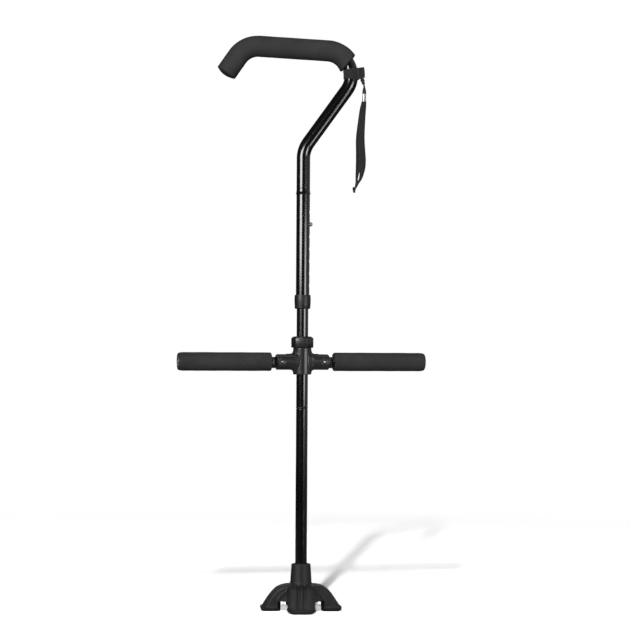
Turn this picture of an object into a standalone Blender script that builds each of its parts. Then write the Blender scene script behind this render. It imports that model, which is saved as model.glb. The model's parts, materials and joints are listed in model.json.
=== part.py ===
"""Quad walking cane with an offset foam handle, a telescoping shaft and two folding side bars.

Metres, +Z up. The origin is on the floor, on the shaft's axis. The handle lies in the XZ plane.
"""

from math import acos, asin, atan, cos, pi, radians, sin, sqrt, tan

import bmesh
import bpy
from mathutils import Matrix, Vector

# Gaps and facets
FIT = 0.0003  # slip gap between neighbouring pieces
BITE = 0.001  # how far a cutter runs past the face it cuts
SIDES = 28  # facets of a round piece
FINE_SIDES = 16  # facets of a small round piece

# Rubber foot
FOOT_REACH = 0.0666
PAD_LIP = 0.0030
PAD_SIDE_LIP = 0.0025
PAD_DEPTH = 0.0338
PAD_THICKNESS = 0.0070
PAD_ROUND = 0.0016
LEG_WIDTH = 0.0440
LEG_ROUND = 0.0050
DOME_HEIGHT = 0.0477
VALLEY_RADIUS = 0.0400
VALLEY_DROP = 0.0032
ARCH_HEIGHT = 0.0147
ARCH_ROUND = 0.0050
SOCKET_RISE = 0.0286
SOCKET_FLOOR = 0.0156
SOCKET_WALL = 0.0062
SOCKET_TAPER = 0.0017
SOCKET_ROUND = 0.0016
WASHER_THICKNESS = 0.0020

# Shaft tubes
SHAFT_RADIUS = 0.009525
SHAFT_WALL = 0.0012
OUTER_WALL = 0.0012
HANDLE_WALL = 0.0014
TELESCOPE_GAP = 0.000375
LOWER_TUBE_LENGTH = 0.2950
MIDDLE_TUBE_LENGTH = 0.3060

# Section joints with elastic cord
LOWER_BEAD_HEIGHT = 0.0031
LOWER_BEAD_STEP = 0.00045
UPPER_RING_HEIGHT = 0.0094
UPPER_RING_FLARE = 0.00115
SPIGOT_LENGTH = 0.0350
UPPER_SPIGOT_ROOT = 0.0180
SPIGOT_FLOOR = 0.0040
CORD_RADIUS = 0.0024
CORD_ROOM = 0.0006
CORD_PAST_SPIGOT = 0.0060
CORD_PLUG_HEIGHT = 0.0060

# Height lock
BUTTON_RADIUS = 0.00335
BUTTON_PROUD = 0.0044
BUTTON_DOME = 0.0016
BUTTON_FLANGE_STEP = 0.0010
BUTTON_FLANGE_HEIGHT = 0.0012
BUTTON_DROP = 0.0088
SPRING_THICKNESS = 0.0006
SPRING_WIDTH = 0.0070
SPRING_LENGTH = 0.0450
SPRING_RISE = 0.0060
HOLE_PITCH = 0.0200
HOLE_COUNT = 7
HOLES_ABOVE_BUTTON = 1
TOP_HOLE_SPARE = 0.0017
LAST_HOLE_RISE = 0.0232
COLLAR_WALL = 0.0015
COLLAR_HEIGHT = 0.0228
COLLAR_COVER = 0.0081
COLLAR_LIP = 0.0024
COLLAR_BARREL = 0.0004
COLLAR_ROUND = 0.0014
RING_SLIT = 0.0020

# Side-bar hub
HUB_SHARE = 0.4595  # how far up the bare middle tube the bars' axis lies
HUB_YAW = radians(12)
HUB_WALL = 0.0027
HUB_BELOW = 0.0207
HUB_ABOVE = 0.0226
HUB_LIP = 0.0020
COLLET_WALL = 0.0022
COLLET_SLIT = 0.0016
COLLET_SLIT_DEPTH = 0.0160
NECK_WALL = 0.0013
NUT_WALL = 0.0016
NUT_HEIGHT = 0.0184
NUT_LID = 0.0040
NUT_ROUND = 0.0036
NUT_TURN = radians(8)
ARM_RADIUS = 0.0132
ARM_TIP = 0.0065
ARM_FILLET = 0.0057
PIN_REACH = 0.0353
PIN_RADIUS = 0.0030
PIN_HEAD_RADIUS = 0.0048
PIN_HEAD_HEIGHT = 0.0020
PIN_RECESS = 0.0011

# Folding bars, measured outwards from the hinge pin
LUG_THICKNESS = 0.0120
LUG_NOSE = 0.0082
LUG_FLAT = 0.0004
LUG_FLOOR = 0.0011  # play under the nose
LUG_SPIGOT = 0.0250
GRIP_START = 0.0186
GRIP_LENGTH = 0.1511
GRIP_WALL = 0.0050
GRIP_END_LENGTH = 0.0090
GRIP_END_STEP = 0.0024
GRIP_ROUND = 0.0022
BAR_RADIUS = 0.0094
BAR_WALL = 0.0014
BAR_PLUG_LENGTH = 0.0100
BAR_PLUG_SINK = 0.0035

# Bent handle
STEM_SPARE = 0.0022
HANDLE_OFFSET = 0.1126
SLANT_ANGLE = radians(35.7)
GRIP_SLOPE = radians(3.44)
HANDLE_TOP_LENGTH = 0.2086
HANDLE_END_LENGTH = 0.0450
HANDLE_END_ANGLE = radians(55.3)
END_BEND_RADIUS = 0.0410
FRONT_BEND_RADIUS = 0.0407
STEM_BEND_RADIUS = 0.0440
BEND_STEP = radians(11)
FOAM_WALL = 0.00585
FOAM_DOME = 0.0039
FOAM_END_WALL = 0.0060
FOAM_TURN = radians(55.5)  # how far round the front bend the foam reaches
FOAM_SKEW = radians(21)
HANDLE_PLUG_LENGTH = 0.0120
HANDLE_PLUG_FLANGE = 0.0020

# Wrist strap
BAND_PAST_FOAM = radians(31.5)
BAND_HEIGHT = 0.0140
BAND_WALL = 0.0020
TAB_LENGTH = 0.0078
TAB_HEIGHT = 0.0180
TAB_THICKNESS = 0.0044
TAB_RAISE = 0.0058
TAB_ROUND = 0.0012
HANG_REACH = 0.0063
LINK_LENGTH = 0.0128
LINK_RADIUS = 0.0013
LINK_FLARE = 0.0010
BEAD_LENGTH = 0.0100
BEAD_RADIUS = 0.0033
FERRULE_LENGTH = 0.0138
FERRULE_RADIUS = 0.0031
FERRULE_ROUND = 0.0008
KNOT_LENGTH = 0.0100
KNOT_RADIUS = 0.0025
KNOT_SHIFT = -0.0142
# drop below the ferrule, shift along X, width and thickness of the hanging loop
STRAP_SECTIONS = (
    (0.000, 0.0002, 0.0068, 0.0040),
    (0.030, -0.0034, 0.0120, 0.0066),
    (0.064, -0.0059, 0.0148, 0.0080),
    (0.094, -0.0049, 0.0166, 0.0080),
    (0.112, -0.0062, 0.0142, 0.0072),
    (0.124, -0.0090, 0.0098, 0.0056),
    (0.139, -0.0126, 0.0050, 0.0030),
)

# Sizes that follow from those above
shaft_bore = SHAFT_RADIUS - SHAFT_WALL
outer_bore = SHAFT_RADIUS + TELESCOPE_GAP
outer_radius = outer_bore + OUTER_WALL
handle_bore = outer_radius - HANDLE_WALL
button_hole = BUTTON_RADIUS + FIT
dome_radius = FOOT_REACH - PAD_LIP
arch_half_span = FOOT_REACH - PAD_DEPTH
foot_height = DOME_HEIGHT + SOCKET_RISE
socket_bore = SHAFT_RADIUS + FIT
socket_radius = socket_bore + SOCKET_WALL
top_hole_drop = UPPER_SPIGOT_ROOT + BUTTON_DROP + TOP_HOLE_SPARE
outer_tube_length = top_hole_drop + (HOLE_COUNT - 1) * HOLE_PITCH + LAST_HOLE_RISE
collet_bore = SHAFT_RADIUS + FIT
collet_radius = collet_bore + COLLET_WALL
hub_bore = collet_radius + FIT
hub_radius = hub_bore + HUB_WALL
neck_radius = hub_bore + NECK_WALL
nut_bore = neck_radius + FIT
nut_radius = (nut_bore + NUT_WALL) / cos(pi / 6)
arm_reach = PIN_REACH + ARM_TIP
lug_top = LUG_NOSE - LUG_FLAT
grip_bore = BAR_RADIUS + FIT
grip_radius = grip_bore + GRIP_WALL
bar_plug_radius = BAR_RADIUS - BAR_WALL - FIT
foam_bore = outer_radius + FIT
foam_radius = foam_bore + FOAM_WALL
band_bore = outer_radius + FIT
band_radius = band_bore + BAND_WALL
band_turn = FOAM_TURN + BAND_PAST_FOAM
handle_straight = SPIGOT_LENGTH + CORD_PAST_SPIGOT + CORD_PLUG_HEIGHT + STEM_SPARE

# Heights of the shaft's stations
socket_z = ARCH_HEIGHT + SOCKET_FLOOR
washer_z = socket_z + FIT
lower_tube_z = washer_z + WASHER_THICKNESS + FIT
bead_z = lower_tube_z + LOWER_TUBE_LENGTH + FIT
middle_tube_z = bead_z + LOWER_BEAD_HEIGHT + FIT
button_z = middle_tube_z + MIDDLE_TUBE_LENGTH - BUTTON_DROP
outer_top_z = button_z + HOLES_ABOVE_BUTTON * HOLE_PITCH + top_hole_drop
outer_tube_z = outer_top_z - outer_tube_length
collar_z = outer_tube_z + COLLAR_COVER - COLLAR_HEIGHT
hub_z = middle_tube_z + HUB_SHARE * (collar_z - middle_tube_z)
ring_z = outer_top_z + FIT
handle_z = ring_z + UPPER_RING_HEIGHT + FIT


def clear_scene():
    for old in list(bpy.data.objects):
        bpy.data.objects.remove(old, do_unlink=True)


def finish(name, rgb, roughness, metallic=0.0):
    """A plain material of one colour."""
    material = bpy.data.materials.new(name)
    material.use_nodes = True
    shader = material.node_tree.nodes["Principled BSDF"]
    shader.inputs["Base Color"].default_value = (*rgb, 1)
    shader.inputs["Roughness"].default_value = roughness
    shader.inputs["Metallic"].default_value = metallic
    return material


def axis_empty(name, location=(0, 0, 0), turn=0.0, parent=None):
    """An empty on a joint's axis, which carries the pieces that move together."""
    empty = bpy.data.objects.new(name, None)
    bpy.context.scene.collection.objects.link(empty)
    empty.location = location
    empty.rotation_euler.z = turn
    empty.parent = parent
    return empty


def piece(name, bm, material, parent, location=(0, 0, 0), rotation=(0, 0, 0)):
    """Turns a bmesh into a named object, smooth where its facets meet at a shallow angle."""
    mesh = bpy.data.meshes.new(name)
    bm.to_mesh(mesh)
    bm.free()
    mesh.shade_smooth()
    mesh.set_sharp_from_angle(angle=radians(35))
    mesh.materials.append(material)
    obj = bpy.data.objects.new(name, mesh)
    bpy.context.scene.collection.objects.link(obj)
    obj.parent = parent
    obj.location = location
    obj.rotation_euler = rotation
    return obj


def boolean(obj, name, bm, operation="DIFFERENCE", location=(0, 0, 0), rotation=(0, 0, 0)):
    """Cuts a helper out of an object, or joins it on, in the object's own frame."""
    helper = piece(name, bm, obj.data.materials[0], obj, location, rotation)
    helper.hide_render = True
    helper.display_type = "WIRE"
    modifier = obj.modifiers.new(name, "BOOLEAN")
    modifier.solver = "EXACT"
    modifier.operation = operation
    modifier.object = helper


def arc(centre, radius, start, end, steps):
    """Points (a, b) along an arc, from one angle to the other."""
    angles = [start + (end - start) * i / steps for i in range(steps + 1)]
    return [(centre[0] + radius * cos(t), centre[1] + radius * sin(t)) for t in angles]


def turned(profile, sides=SIDES):
    """A (radius, height) outline spun round Z. It may start and end on the axis."""
    bm = bmesh.new()
    chain = [bm.verts.new((r, 0, z)) for r, z in profile]
    ends = [] if profile[0][0] == profile[-1][0] == 0 else [(chain[-1], chain[0])]
    edges = [bm.edges.new(pair) for pair in [*zip(chain, chain[1:]), *ends]]
    bmesh.ops.spin(
        bm, geom=chain + edges, cent=(0, 0, 0), axis=(0, 0, 1), angle=2 * pi, steps=sides, use_merge=True
    )
    bmesh.ops.remove_doubles(bm, verts=bm.verts, dist=1e-6)
    bmesh.ops.recalc_face_normals(bm, faces=bm.faces)
    flat = [v for v in bm.verts if len(v.link_faces) == sides and abs(v.normal.z) > 1 - 1e-9]
    bmesh.ops.dissolve_verts(bm, verts=[v for v in flat if is_level(v.link_faces)])
    return bm


def is_level(faces):
    return all(abs(face.normal.z) > 1 - 1e-6 for face in faces)


def sleeve(inner, outer, length, sides=SIDES):
    return turned([(inner, 0), (outer, 0), (outer, length), (inner, length)], sides)


def rod(radius, length, sides=FINE_SIDES):
    """Plain cylinder that stands on the XY plane."""
    bm = bmesh.new()
    matrix = Matrix.Translation((0, 0, length / 2)) @ Matrix.Rotation(pi / sides, 4, "Z")
    bmesh.ops.create_cone(
        bm, cap_ends=True, segments=sides, radius1=radius, radius2=radius, depth=length, matrix=matrix
    )
    return bm


def box(low, high):
    bm = bmesh.new()
    size = [b - a for a, b in zip(low, high)]
    middle = [(a + b) / 2 for a, b in zip(low, high)]
    bmesh.ops.create_cube(bm, size=1)
    bmesh.ops.scale(bm, vec=size, verts=bm.verts)
    bmesh.ops.translate(bm, vec=middle, verts=bm.verts)
    return bm


def plate(outline, half_thickness):
    """An (x, z) outline extruded to both sides of the XZ plane."""
    bm = bmesh.new()
    face = bm.faces.new([bm.verts.new((x, -half_thickness, z)) for x, z in outline])
    grown = bmesh.ops.extrude_face_region(bm, geom=[face])["geom"]
    moved = [v for v in grown if isinstance(v, bmesh.types.BMVert)]
    bmesh.ops.translate(bm, vec=(0, 2 * half_thickness, 0), verts=moved)
    bmesh.ops.recalc_face_normals(bm, faces=bm.faces)
    return bm


def rounded(bm, edges, width, segments=2):
    bmesh.ops.bevel(
        bm, geom=edges, offset=width, segments=segments, profile=0.5, affect="EDGES", clamp_overlap=True
    )
    return bm


def loft(rings):
    """Closed solid through rings of points, with flat ends."""
    bm = bmesh.new()
    loops = []
    for ring in rings:
        verts = [bm.verts.new(p) for p in ring]
        loops.append([bm.edges.new(pair) for pair in zip(verts, verts[1:] + verts[:1])])
    for below, above in zip(loops, loops[1:]):
        bmesh.ops.bridge_loops(bm, edges=below + above)
    for end in (loops[0], loops[-1]):
        bmesh.ops.edgeloop_fill(bm, edges=end)
    bmesh.ops.connect_verts_nonplanar(bm, angle_limit=radians(0.1), faces=bm.faces)
    bmesh.ops.recalc_face_normals(bm, faces=bm.faces)
    return bm


def oval(centre, half_x, half_y, sides):
    """Ring of points round a centre, level with it."""
    x, y, z = centre
    turns = [2 * pi * i / sides for i in range(sides)]
    return [(x + half_x * cos(t), y + half_y * sin(t), z) for t in turns]


clear_scene()
BLACK_GLOSS = finish("black_gloss_enamel", (0.012, 0.012, 0.014), 0.18, 0.3)
BLACK_PLASTIC = finish("black_moulded_plastic", (0.018, 0.018, 0.020), 0.32)
FOAM = finish("charcoal_foam", (0.060, 0.057, 0.058), 0.85)
RUBBER = finish("black_rubber", (0.030, 0.029, 0.030), 0.62)
BARE_STEEL = finish("bright_steel", (0.62, 0.62, 0.63), 0.22, 1.0)
BARE_ALUMINIUM = finish("bare_aluminium", (0.55, 0.55, 0.56), 0.35, 1.0)
GREY_NYLON = finish("grey_nylon", (0.16, 0.16, 0.17), 0.5)
ELASTIC = finish("elastic_cord", (0.20, 0.20, 0.21), 0.8)
WEBBING = finish("black_webbing", (0.035, 0.034, 0.036), 0.8)

# Each empty stands on the axis of the joint that moves its pieces
lower_section = axis_empty("lower_section_axis")
middle_section = axis_empty("middle_section_axis", (0, 0, bead_z), parent=lower_section)
button_axis = axis_empty("snap_button_axis", (0, 0, button_z - bead_z), parent=middle_section)
outer_section = axis_empty("outer_section_axis", (0, 0, outer_tube_z - bead_z), parent=middle_section)
collar_axis = axis_empty("lock_collar_axis", parent=outer_section)
handle_section = axis_empty("handle_section_axis", (0, 0, ring_z - outer_tube_z), parent=outer_section)
clamp_axis = axis_empty("hub_clamp_axis", (0, 0, hub_z - bead_z), parent=middle_section)
hub_axis = axis_empty("hub_axis", turn=HUB_YAW, parent=clamp_axis)
nut_axis = axis_empty("hub_nut_axis", (0, 0, HUB_ABOVE), NUT_TURN - HUB_YAW, hub_axis)
bar_axes = {
    "right": axis_empty("right_bar_axis", (PIN_REACH, 0, 0), 0, hub_axis),
    "left": axis_empty("left_bar_axis", (-PIN_REACH, 0, 0), pi, hub_axis),
}


def leg_outline(steps):
    """Side view of a bar that ends in the pads, with an elliptical back."""
    base = PAD_THICKNESS / 2
    lip = asin(base / DOME_HEIGHT)
    turns = [lip + (pi / 2 - lip) * i / steps for i in range(steps)]
    half = [(dome_radius * cos(t), DOME_HEIGHT * sin(t)) for t in turns]
    return half + [(-x, z) for x, z in reversed(half)]


def foot_pad():
    """A flange with rounded rims round the lower end of one leg."""
    low = (arch_half_span - LEG_ROUND, -LEG_WIDTH / 2 - PAD_SIDE_LIP, 0)
    high = (FOOT_REACH, LEG_WIDTH / 2 + PAD_SIDE_LIP, PAD_THICKNESS)
    bm = box(low, high)
    upright = [e for e in bm.edges if abs(e.verts[0].co.z - e.verts[1].co.z) > PAD_THICKNESS / 2]
    rounded(bm, upright, LEG_ROUND)
    rims = [e for e in bm.edges if abs(e.verts[0].co.z - e.verts[1].co.z) < PAD_THICKNESS / 2]
    return rounded(bm, rims, PAD_ROUND, 1)


def make_foot():
    """Rubber tip: socket cone and dome on two crossing bars with four pads, arched below."""
    base, wide = PAD_THICKNESS, socket_radius + SOCKET_TAPER
    rim = arc((socket_radius - SOCKET_ROUND, foot_height - SOCKET_ROUND), SOCKET_ROUND, 0, pi / 2, 3)
    cone = [(0, base), (wide, base), (wide, DOME_HEIGHT), *rim, (0, foot_height)]
    foot = piece("quad_foot", turned(cone), RUBBER, lower_section)
    rise = DOME_HEIGHT - VALLEY_DROP - ARCH_HEIGHT
    curve = [(VALLEY_RADIUS * cos(t), ARCH_HEIGHT + rise * sin(t)) for t in steps_to_top(6)[:-1]]
    valley = [(0, base + BITE), (VALLEY_RADIUS, base + BITE), *curve, (0, curve[-1][1])]
    boolean(foot, "foot_valley", turned(valley, SIDES + 4), "UNION")
    for name, turn, steps in (("across", 0, 9), ("along", pi / 2, 11)):
        bar = plate(leg_outline(steps), LEG_WIDTH / 2)
        back = [e for e in bar.edges if is_leg_back(e)]
        boolean(foot, f"foot_bar_{name}", rounded(bar, back, LEG_ROUND), "UNION", rotation=(0, 0, turn))
        for side, half_turn in (("near", 0), ("far", pi)):
            pad = foot_pad()
            boolean(foot, f"foot_pad_{name}_{side}", pad, "UNION", rotation=(0, 0, turn + half_turn))
    span = arch_half_span
    arch = box((-span, -span, -ARCH_HEIGHT), (span, span, ARCH_HEIGHT))
    ceiling = [e for e in arch.edges if min(v.co.z for v in e.verts) > 0]
    boolean(foot, "foot_arch", rounded(arch, ceiling, ARCH_ROUND, 3))
    socket = rod(socket_bore, foot_height - socket_z + BITE, SIDES)
    boolean(foot, "foot_socket", socket, location=(0, 0, socket_z))


def steps_to_top(count):
    return [pi / 2 * i / count for i in range(count + 1)]


def is_leg_back(edge):
    """True for the outline's long upper edges, which get the leg's rounding."""
    a, b = (v.co for v in edge.verts)
    on_back = all((v.x / dome_radius) ** 2 + (v.z / DOME_HEIGHT) ** 2 > 0.98 for v in (a, b))
    return on_back and abs(a.y - b.y) < 1e-6 and min(a.z, b.z) > PAD_THICKNESS / 2


def make_lower_section():
    washer = sleeve(CORD_RADIUS, SHAFT_RADIUS, WASHER_THICKNESS)
    piece("foot_washer", washer, BARE_STEEL, lower_section, (0, 0, washer_z))
    tube = sleeve(shaft_bore, SHAFT_RADIUS, LOWER_TUBE_LENGTH)
    piece("lower_tube", tube, BLACK_GLOSS, lower_section, (0, 0, lower_tube_z))
    plug, bead, bore = shaft_bore - FIT, SHAFT_RADIUS + LOWER_BEAD_STEP, CORD_RADIUS + CORD_ROOM
    top = LOWER_BEAD_HEIGHT + SPIGOT_LENGTH
    half = LOWER_BEAD_HEIGHT / 2
    bulge = arc((bead - half, half), half, -pi / 2, pi / 2, 4)
    profile = [(0, -SPIGOT_LENGTH), (plug, -SPIGOT_LENGTH), (plug, 0), *bulge, (plug, LOWER_BEAD_HEIGHT)]
    floor = SPIGOT_FLOOR - SPIGOT_LENGTH
    profile += [(plug, top), (bore, top), (bore, floor), (0, floor)]
    piece("lower_joint_spigot", turned(profile), BLACK_PLASTIC, lower_section, (0, 0, bead_z))
    cord_z = bead_z + floor + FIT
    length = bead_z + top + CORD_PAST_SPIGOT - cord_z
    piece("lower_shock_cord", rod(CORD_RADIUS, length, 12), ELASTIC, lower_section, (0, 0, cord_z))
    return cord_z + length + FIT - bead_z


def make_middle_section(cord_plug_z):
    plug = rod(shaft_bore - FIT, CORD_PLUG_HEIGHT, SIDES)
    piece("middle_cord_plug", plug, BLACK_PLASTIC, middle_section, (0, 0, cord_plug_z))
    tube = sleeve(shaft_bore, SHAFT_RADIUS, MIDDLE_TUBE_LENGTH)
    tube = piece("middle_tube", tube, BLACK_GLOSS, middle_section, (0, 0, middle_tube_z - bead_z))
    hole_z = MIDDLE_TUBE_LENGTH - BUTTON_DROP
    cut_side_hole(tube, "middle_tube_hole", hole_z)
    flange = BUTTON_RADIUS + BUTTON_FLANGE_STEP
    seat = sqrt(shaft_bore**2 - flange**2) - FIT
    tip = outer_radius + BUTTON_PROUD
    turns = steps_to_top(4)[:-1]
    dome = [(BUTTON_RADIUS * cos(t), tip - BUTTON_DOME * (1 - sin(t))) for t in turns]
    foot = seat - BUTTON_FLANGE_HEIGHT
    profile = [(0, foot), (flange, foot), (flange, seat), (BUTTON_RADIUS, seat), *dome, (0, tip)]
    piece("snap_button", turned(profile, FINE_SIDES), BARE_STEEL, button_axis, rotation=(0, pi / 2, 0))
    make_button_spring(foot - FIT)


def cut_side_hole(tube, name, height):
    """Hole for the snap button through the +X wall of a tube."""
    drill = rod(button_hole, outer_radius + BITE)
    boolean(tube, name, drill, location=(0, 0, height), rotation=(0, pi / 2, 0))


def make_button_spring(front):
    """Spring strip bent double inside the tube, with one leg behind the button."""
    back = SPRING_THICKNESS + FIT - sqrt(shaft_bore**2 - (SPRING_WIDTH / 2) ** 2)
    bend = (front + back) / 2 - SPRING_THICKNESS / 2, -SPRING_LENGTH
    radius = (front - back + SPRING_THICKNESS) / 2
    outer = arc(bend, radius, 0, -pi, 8)
    inner = arc(bend, radius - SPRING_THICKNESS, -pi, 0, 8)
    back_face, front_face = outer[-1][0], outer[0][0]
    left = [(back_face, SPRING_RISE), (back_face + SPRING_THICKNESS, SPRING_RISE)]
    right = [(front_face - SPRING_THICKNESS, SPRING_RISE), (front_face, SPRING_RISE)]
    strip = plate([*outer, *left, *inner, *right], SPRING_WIDTH / 2)
    piece("button_spring", strip, BARE_STEEL, button_axis.parent, button_axis.location)


def make_outer_section():
    tube = sleeve(outer_bore, outer_radius, outer_tube_length)
    tube = piece("outer_tube", tube, BLACK_GLOSS, outer_section)
    for index in range(HOLE_COUNT):
        height = outer_tube_length - top_hole_drop - index * HOLE_PITCH
        cut_side_hole(tube, f"height_hole_{index}", height)
    hole, seat, wide = SHAFT_RADIUS + FIT, outer_radius + FIT, outer_radius + FIT + COLLAR_WALL
    foot = arc((wide - COLLAR_ROUND, COLLAR_ROUND), COLLAR_ROUND, -pi / 2, 0, 2)
    bulge = [(wide + COLLAR_BARREL, COLLAR_HEIGHT / 2), (wide, COLLAR_HEIGHT)]
    profile = [(hole, 0), *foot, *bulge, (seat, COLLAR_HEIGHT), (seat, COLLAR_LIP), (hole, COLLAR_LIP)]
    piece("lock_collar", turned(profile), BLACK_PLASTIC, collar_axis, (0, 0, collar_z - outer_tube_z))
    ring_height = COLLAR_HEIGHT - COLLAR_COVER - COLLAR_LIP - 2 * FIT
    ring = sleeve(hole, outer_radius, ring_height)
    ring = piece("collar_ring", ring, GREY_NYLON, outer_section, (0, 0, -FIT - ring_height))
    slit = box((0, -RING_SLIT / 2, -BITE), (outer_radius + BITE, RING_SLIT / 2, ring_height + BITE))
    boolean(ring, "collar_ring_slit", slit)
    root, plug, bore = outer_bore - FIT, handle_bore - FIT, CORD_RADIUS + CORD_ROOM
    top = UPPER_RING_HEIGHT + SPIGOT_LENGTH
    floor = SPIGOT_FLOOR - UPPER_SPIGOT_ROOT
    profile = [(0, -UPPER_SPIGOT_ROOT), (root, -UPPER_SPIGOT_ROOT), (root, 0), (outer_radius, 0)]
    profile += [(outer_radius + UPPER_RING_FLARE, UPPER_RING_FLARE / 2)]
    profile += [(outer_radius, UPPER_RING_HEIGHT)]
    profile += [(plug, UPPER_RING_HEIGHT), (plug, top), (bore, top), (bore, floor), (0, floor)]
    ring_at = (0, 0, ring_z - outer_tube_z)
    piece("upper_joint_spigot", turned(profile), BLACK_PLASTIC, outer_section, ring_at)
    cord_z = floor + FIT
    length = top + CORD_PAST_SPIGOT - cord_z
    at = (0, 0, ring_at[2] + cord_z)
    piece("upper_shock_cord", rod(CORD_RADIUS, length, 12), ELASTIC, outer_section, at)
    plug = rod(handle_bore - FIT, CORD_PLUG_HEIGHT, SIDES)
    piece("handle_cord_plug", plug, BLACK_PLASTIC, handle_section, (0, 0, cord_z + length + FIT))


def make_hub():
    """Barrel and cross arms in one casting, with the collet and nut that clamp it to the tube."""
    neck_top = HUB_ABOVE + FIT + NUT_HEIGHT - NUT_LID - BITE
    solid = [(0, -HUB_BELOW), (hub_radius, -HUB_BELOW), (hub_radius, HUB_ABOVE)]
    solid += [(neck_radius, HUB_ABOVE), (neck_radius, neck_top), (0, neck_top)]
    hub = piece("hub_body", turned(solid), BLACK_GLOSS, hub_axis)
    boolean(hub, "hub_arms", hub_arms(), "UNION")
    bore_z = HUB_LIP - HUB_BELOW
    boolean(hub, "hub_bore_cut", rod(hub_bore, neck_top - bore_z + BITE, SIDES), location=(0, 0, bore_z))
    lip = rod(collet_bore, HUB_LIP + 2 * BITE, SIDES)
    boolean(hub, "hub_lip_cut", lip, location=(0, 0, -HUB_BELOW - BITE))
    for side, turn in (("right", 0), ("left", pi)):
        cut_clevis(hub, side, turn)
    collet_z = bore_z + FIT
    collet_length = neck_top + BITE - FIT - collet_z
    profile = [(collet_bore, 0), (collet_radius, 0), (collet_radius, collet_length - COLLET_WALL)]
    profile += [(collet_radius - COLLET_WALL / 2, collet_length), (collet_bore, collet_length)]
    collet = piece("hub_collet", turned(profile), GREY_NYLON, clamp_axis, (0, 0, collet_z))
    for index in range(2):
        across = collet_radius + BITE
        slit = box((-across, -COLLET_SLIT / 2, 0), (across, COLLET_SLIT / 2, COLLET_SLIT_DEPTH + BITE))
        at = (0, 0, collet_length - COLLET_SLIT_DEPTH)
        boolean(collet, f"collet_slit_{index}", slit, location=at, rotation=(0, 0, index * pi / 2))
    make_nut()


def hub_arms():
    """Round arms along X: swollen where they run into the barrel, rounded at the upper outer corner."""
    root = hub_radius - BITE / 2
    swell = [(root + ARM_FILLET * (1 - cos(t)), ARM_FILLET * (1 - sin(t)), 0) for t in steps_to_top(3)]
    shoulder = arm_reach - ARM_FILLET
    ends = [(shoulder + ARM_FILLET * sin(t), 0, ARM_FILLET * (1 - cos(t))) for t in steps_to_top(3)]
    half = [*swell, *ends]
    rings = []
    for x, rise, fall in [*reversed(half), *[(-x, rise, fall) for x, rise, fall in half]]:
        ring = oval((0, 0, x), ARM_RADIUS, ARM_RADIUS + rise, SIDES - 4)
        rings.append([(z, y, min(up, ARM_RADIUS + rise - fall)) for y, up, z in ring])
    return loft(rings)


def cut_clevis(hub, side, turn):
    """Slot, hinge-pin hole and rivet recesses of one arm."""
    slot = LUG_THICKNESS / 2 + FIT
    inner = PIN_REACH - LUG_NOSE - LUG_FLOOR
    cut = box((inner, -slot, -LUG_NOSE - LUG_FLOOR), (arm_reach + BITE, slot, ARM_RADIUS + ARM_FILLET))
    boolean(hub, f"{side}_slot", cut, rotation=(0, 0, turn))
    hole = rod(PIN_RADIUS + FIT, 2 * ARM_RADIUS + 2 * BITE)
    at = (PIN_REACH * cos(turn), -ARM_RADIUS - BITE, 0)
    boolean(hub, f"{side}_pin_hole", hole, location=at, rotation=(-pi / 2, 0, 0))
    for face in (-1, 1):
        recess = rod(PIN_HEAD_RADIUS + FIT, ARM_RADIUS)
        at = (PIN_REACH * cos(turn), face * (ARM_RADIUS - PIN_RECESS), 0)
        boolean(hub, f"{side}_recess_{face + 1}", recess, location=at, rotation=(-face * pi / 2, 0, 0))


def make_nut():
    bm = bmesh.new()
    upright = Matrix.Translation((0, 0, NUT_HEIGHT / 2)) @ Matrix.Rotation(pi / 6, 4, "Z")
    size = {"radius1": nut_radius, "radius2": nut_radius, "depth": NUT_HEIGHT}
    bmesh.ops.create_cone(bm, cap_ends=True, segments=6, matrix=upright, **size)
    top = [e for e in bm.edges if min(v.co.z for v in e.verts) > NUT_HEIGHT / 2]
    nut = piece("hub_nut", rounded(bm, top, NUT_ROUND, 3), BLACK_GLOSS, nut_axis, (0, 0, FIT))
    bore = rod(nut_bore, NUT_HEIGHT - NUT_LID + BITE, SIDES)
    boolean(nut, "nut_bore_cut", bore, location=(0, 0, -BITE))
    boolean(nut, "nut_lid_cut", rod(SHAFT_RADIUS + FIT, NUT_HEIGHT, SIDES), location=(0, 0, BITE))


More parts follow.
